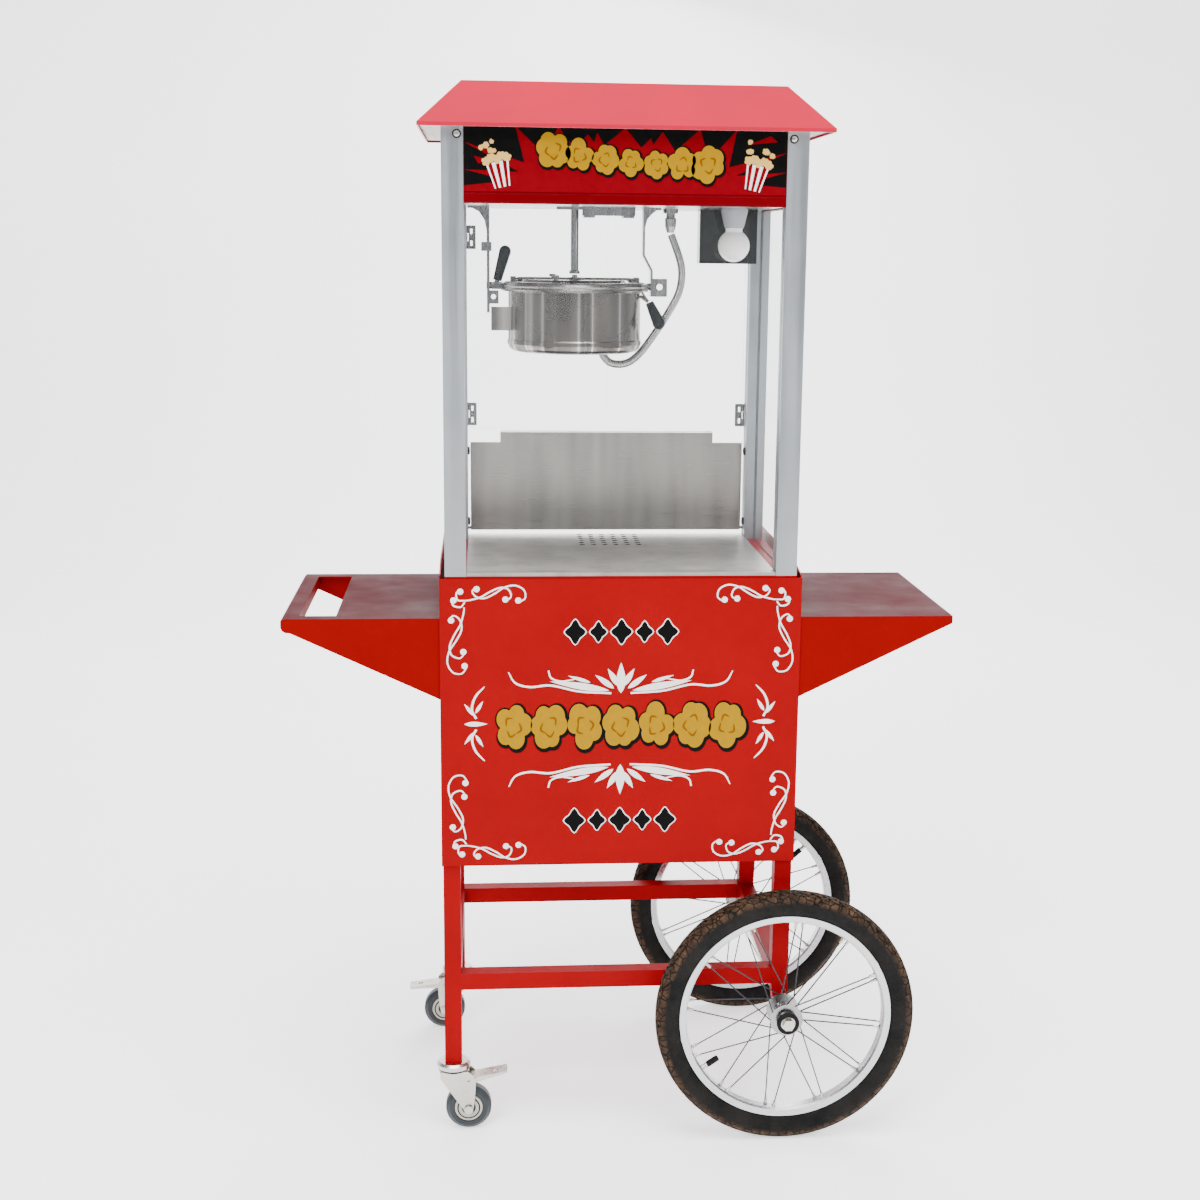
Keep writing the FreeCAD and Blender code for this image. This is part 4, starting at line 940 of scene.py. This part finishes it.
def dress_spokes(name, tag):
    """Darkens the wheel's thin wires and puts a nipple where each one meets the rim."""
    wire_verts, hub_reach, into_wire, weld = 24, 30 * MM, 0.5 * MM, 1e-6
    nipple = [(0, -9.0), (1.7, -9.0), (2.2, -8.2), (2.2, -3.0), (3.0, -1.6), (3.0, 0), (0, 0)]
    wheel = NODES[name]
    mesh = wheel.data
    centre = middle(name)

    def from_axle(p):
        return math.hypot(p.x - centre.x, p.z - centre.z)

    def key(p):
        return tuple(round(c, 5) for c in p)

    bm = bmesh.new()
    bm.from_mesh(mesh)
    bmesh.ops.remove_doubles(bm, verts=bm.verts, dist=weld)
    thin = [part for part in loose_parts(bm) if len(part) <= wire_verts]
    wires = [[wheel.matrix_world @ v.co for v in part] for part in thin]
    bm.free()
    corners = {key(p) for wire in wires for p in wire}
    on_wire = [key(wheel.matrix_world @ v.co) in corners for v in mesh.vertices]
    mesh.materials.append(MATS["spoke"])
    mesh.materials.append(MATS["steel_fine"])
    for face in mesh.polygons:
        if all(on_wire[v] for v in face.vertices):
            face.material_index = 1
        elif from_axle(wheel.matrix_world @ face.center) < hub_reach:
            face.material_index = 2
    for k, wire in enumerate(wires):
        out = sorted(wire, key=from_axle)
        half = len(out) // 2
        near = sum(out[:half], Vector()) / half
        far = sum(out[half:], Vector()) / (len(out) - half)
        outward = (far - near).normalized()
        foot = (far - outward * into_wire) / MM
        lathe(f"nipple_{tag}_{k}", nipple, foot, outward, "zinc", name, 10)


def make_bumpers():
    """Rubber pads on the inner sides of the rear posts, just in front of the serving flap."""
    pad = [(0, 0), (5.5, 0), (6.5, 0.6), (6.2, 2.2), (4.6, 3.2), (0, 3.2)]
    post = in_mm("post_rear_right")[0]
    tray_top = in_mm("tray")[1].z
    into_post, upper, lower = 9, tray_top + 135, tray_top + 23
    for k, (side, z) in enumerate(((-1, upper), (1, upper), (-1, lower), (1, lower))):
        place = (side * post.x, post.y + into_post, z)
        lathe(f"bumper_{k}", pad, place, (-side, 0, 0), "rubber", "cart")


def make_caster_discs():
    """Pale hub disc with a dark ring on each side of both caster wheels."""
    cap = [(10.4, 0.6), (12.0, 0.1), (15.5, 0.2), (20.7, 1.4), (20.7, 2.3), (10.4, 1.9), (10.4, 0.6)]
    ring = [(15.2, -0.1), (17.2, 0.3), (17.2, 0.9), (15.2, 0.5), (15.2, -0.1)]
    for tag in ("front", "rear"):
        wheel = f"caster_{tag}_wheel"
        lo, hi = in_mm(wheel)
        mid = (lo + hi) / 2
        for end, side, y in (("a", -1, lo.y), ("b", 1, hi.y)):
            place, inward = (mid.x, y, mid.z), (0, -side, 0)
            lathe(f"caster_{tag}_disc_{end}", cap, place, inward, "cream", wheel)
            lathe(f"caster_{tag}_ring_{end}", ring, place, inward, "rubber", wheel)


def make_sign_screws():
    """A domed screw on a dark washer, at the top of each front post."""
    dome = [(0, 3.0), (2.0, 2.8), (3.8, 2.0), (4.5, 0.9), (4.7, 0), (0, 0)]
    washer = [(4.8, 0), (6.0, 0), (6.0, 0.6), (4.8, 0.6), (4.8, 0)]
    lo, hi = in_mm("post_front_right")
    into_post, below_top = 8.5, 11.5
    for tag, side in (("l", -1), ("r", 1)):
        place = (side * (lo.x + into_post), machine_front(), hi.z - below_top)
        lathe(f"sign_screw_{tag}", dome, place, (0, -1, 0), "zinc", "cart", 24)
        lathe(f"sign_washer_{tag}", washer, place, (0, -1, 0), "rubber", "cart", 24)


def make_wheel_trim():
    """Dust caps on the axle ends, valve caps inside the rims, and dressed spokes."""
    seal = [(10.7, 262.3), (16.4, 262.3), (16.4, 266.2), (15.4, 267.4), (10.7, 267.4), (10.7, 262.3)]
    cap = [(0, 28.0), (3.2, 28.0), (4.4, 26.8), (4.6, 9.0), (3.75, 9.0), (3.75, 26.3), (0, 26.3)]
    rim_r = 146
    for tag, side, valve_deg in (("front", -1, 214), ("rear", 1, 42)):
        wheel, valve_at = f"wheel_{tag}", math.radians(valve_deg)
        inward = -Vector((math.cos(valve_at), 0, math.sin(valve_at)))
        lathe(f"dust_cap_{tag}", seal, middle("axle") / MM, (0, side, 0),
              "rubber", "cart")
        on_rim = middle(f"tyre_{tag}") / MM - inward * rim_r
        lathe(f"valve_cap_{tag}", cap, on_rim, inward, "rubber", wheel, 16)
        dress_spokes(wheel, tag)


camera()
MATS = make_materials()
stage()
dress_nodes()
make_hose()
make_tyre("tyre_front_tread", "tyre_front", "wheel_front")
make_tyre("tyre_rear_tread", "tyre_rear", "wheel_rear")
make_bumpers()
make_caster_discs()
make_sign_screws()
make_wheel_trim()
front_artwork()
header_artwork()
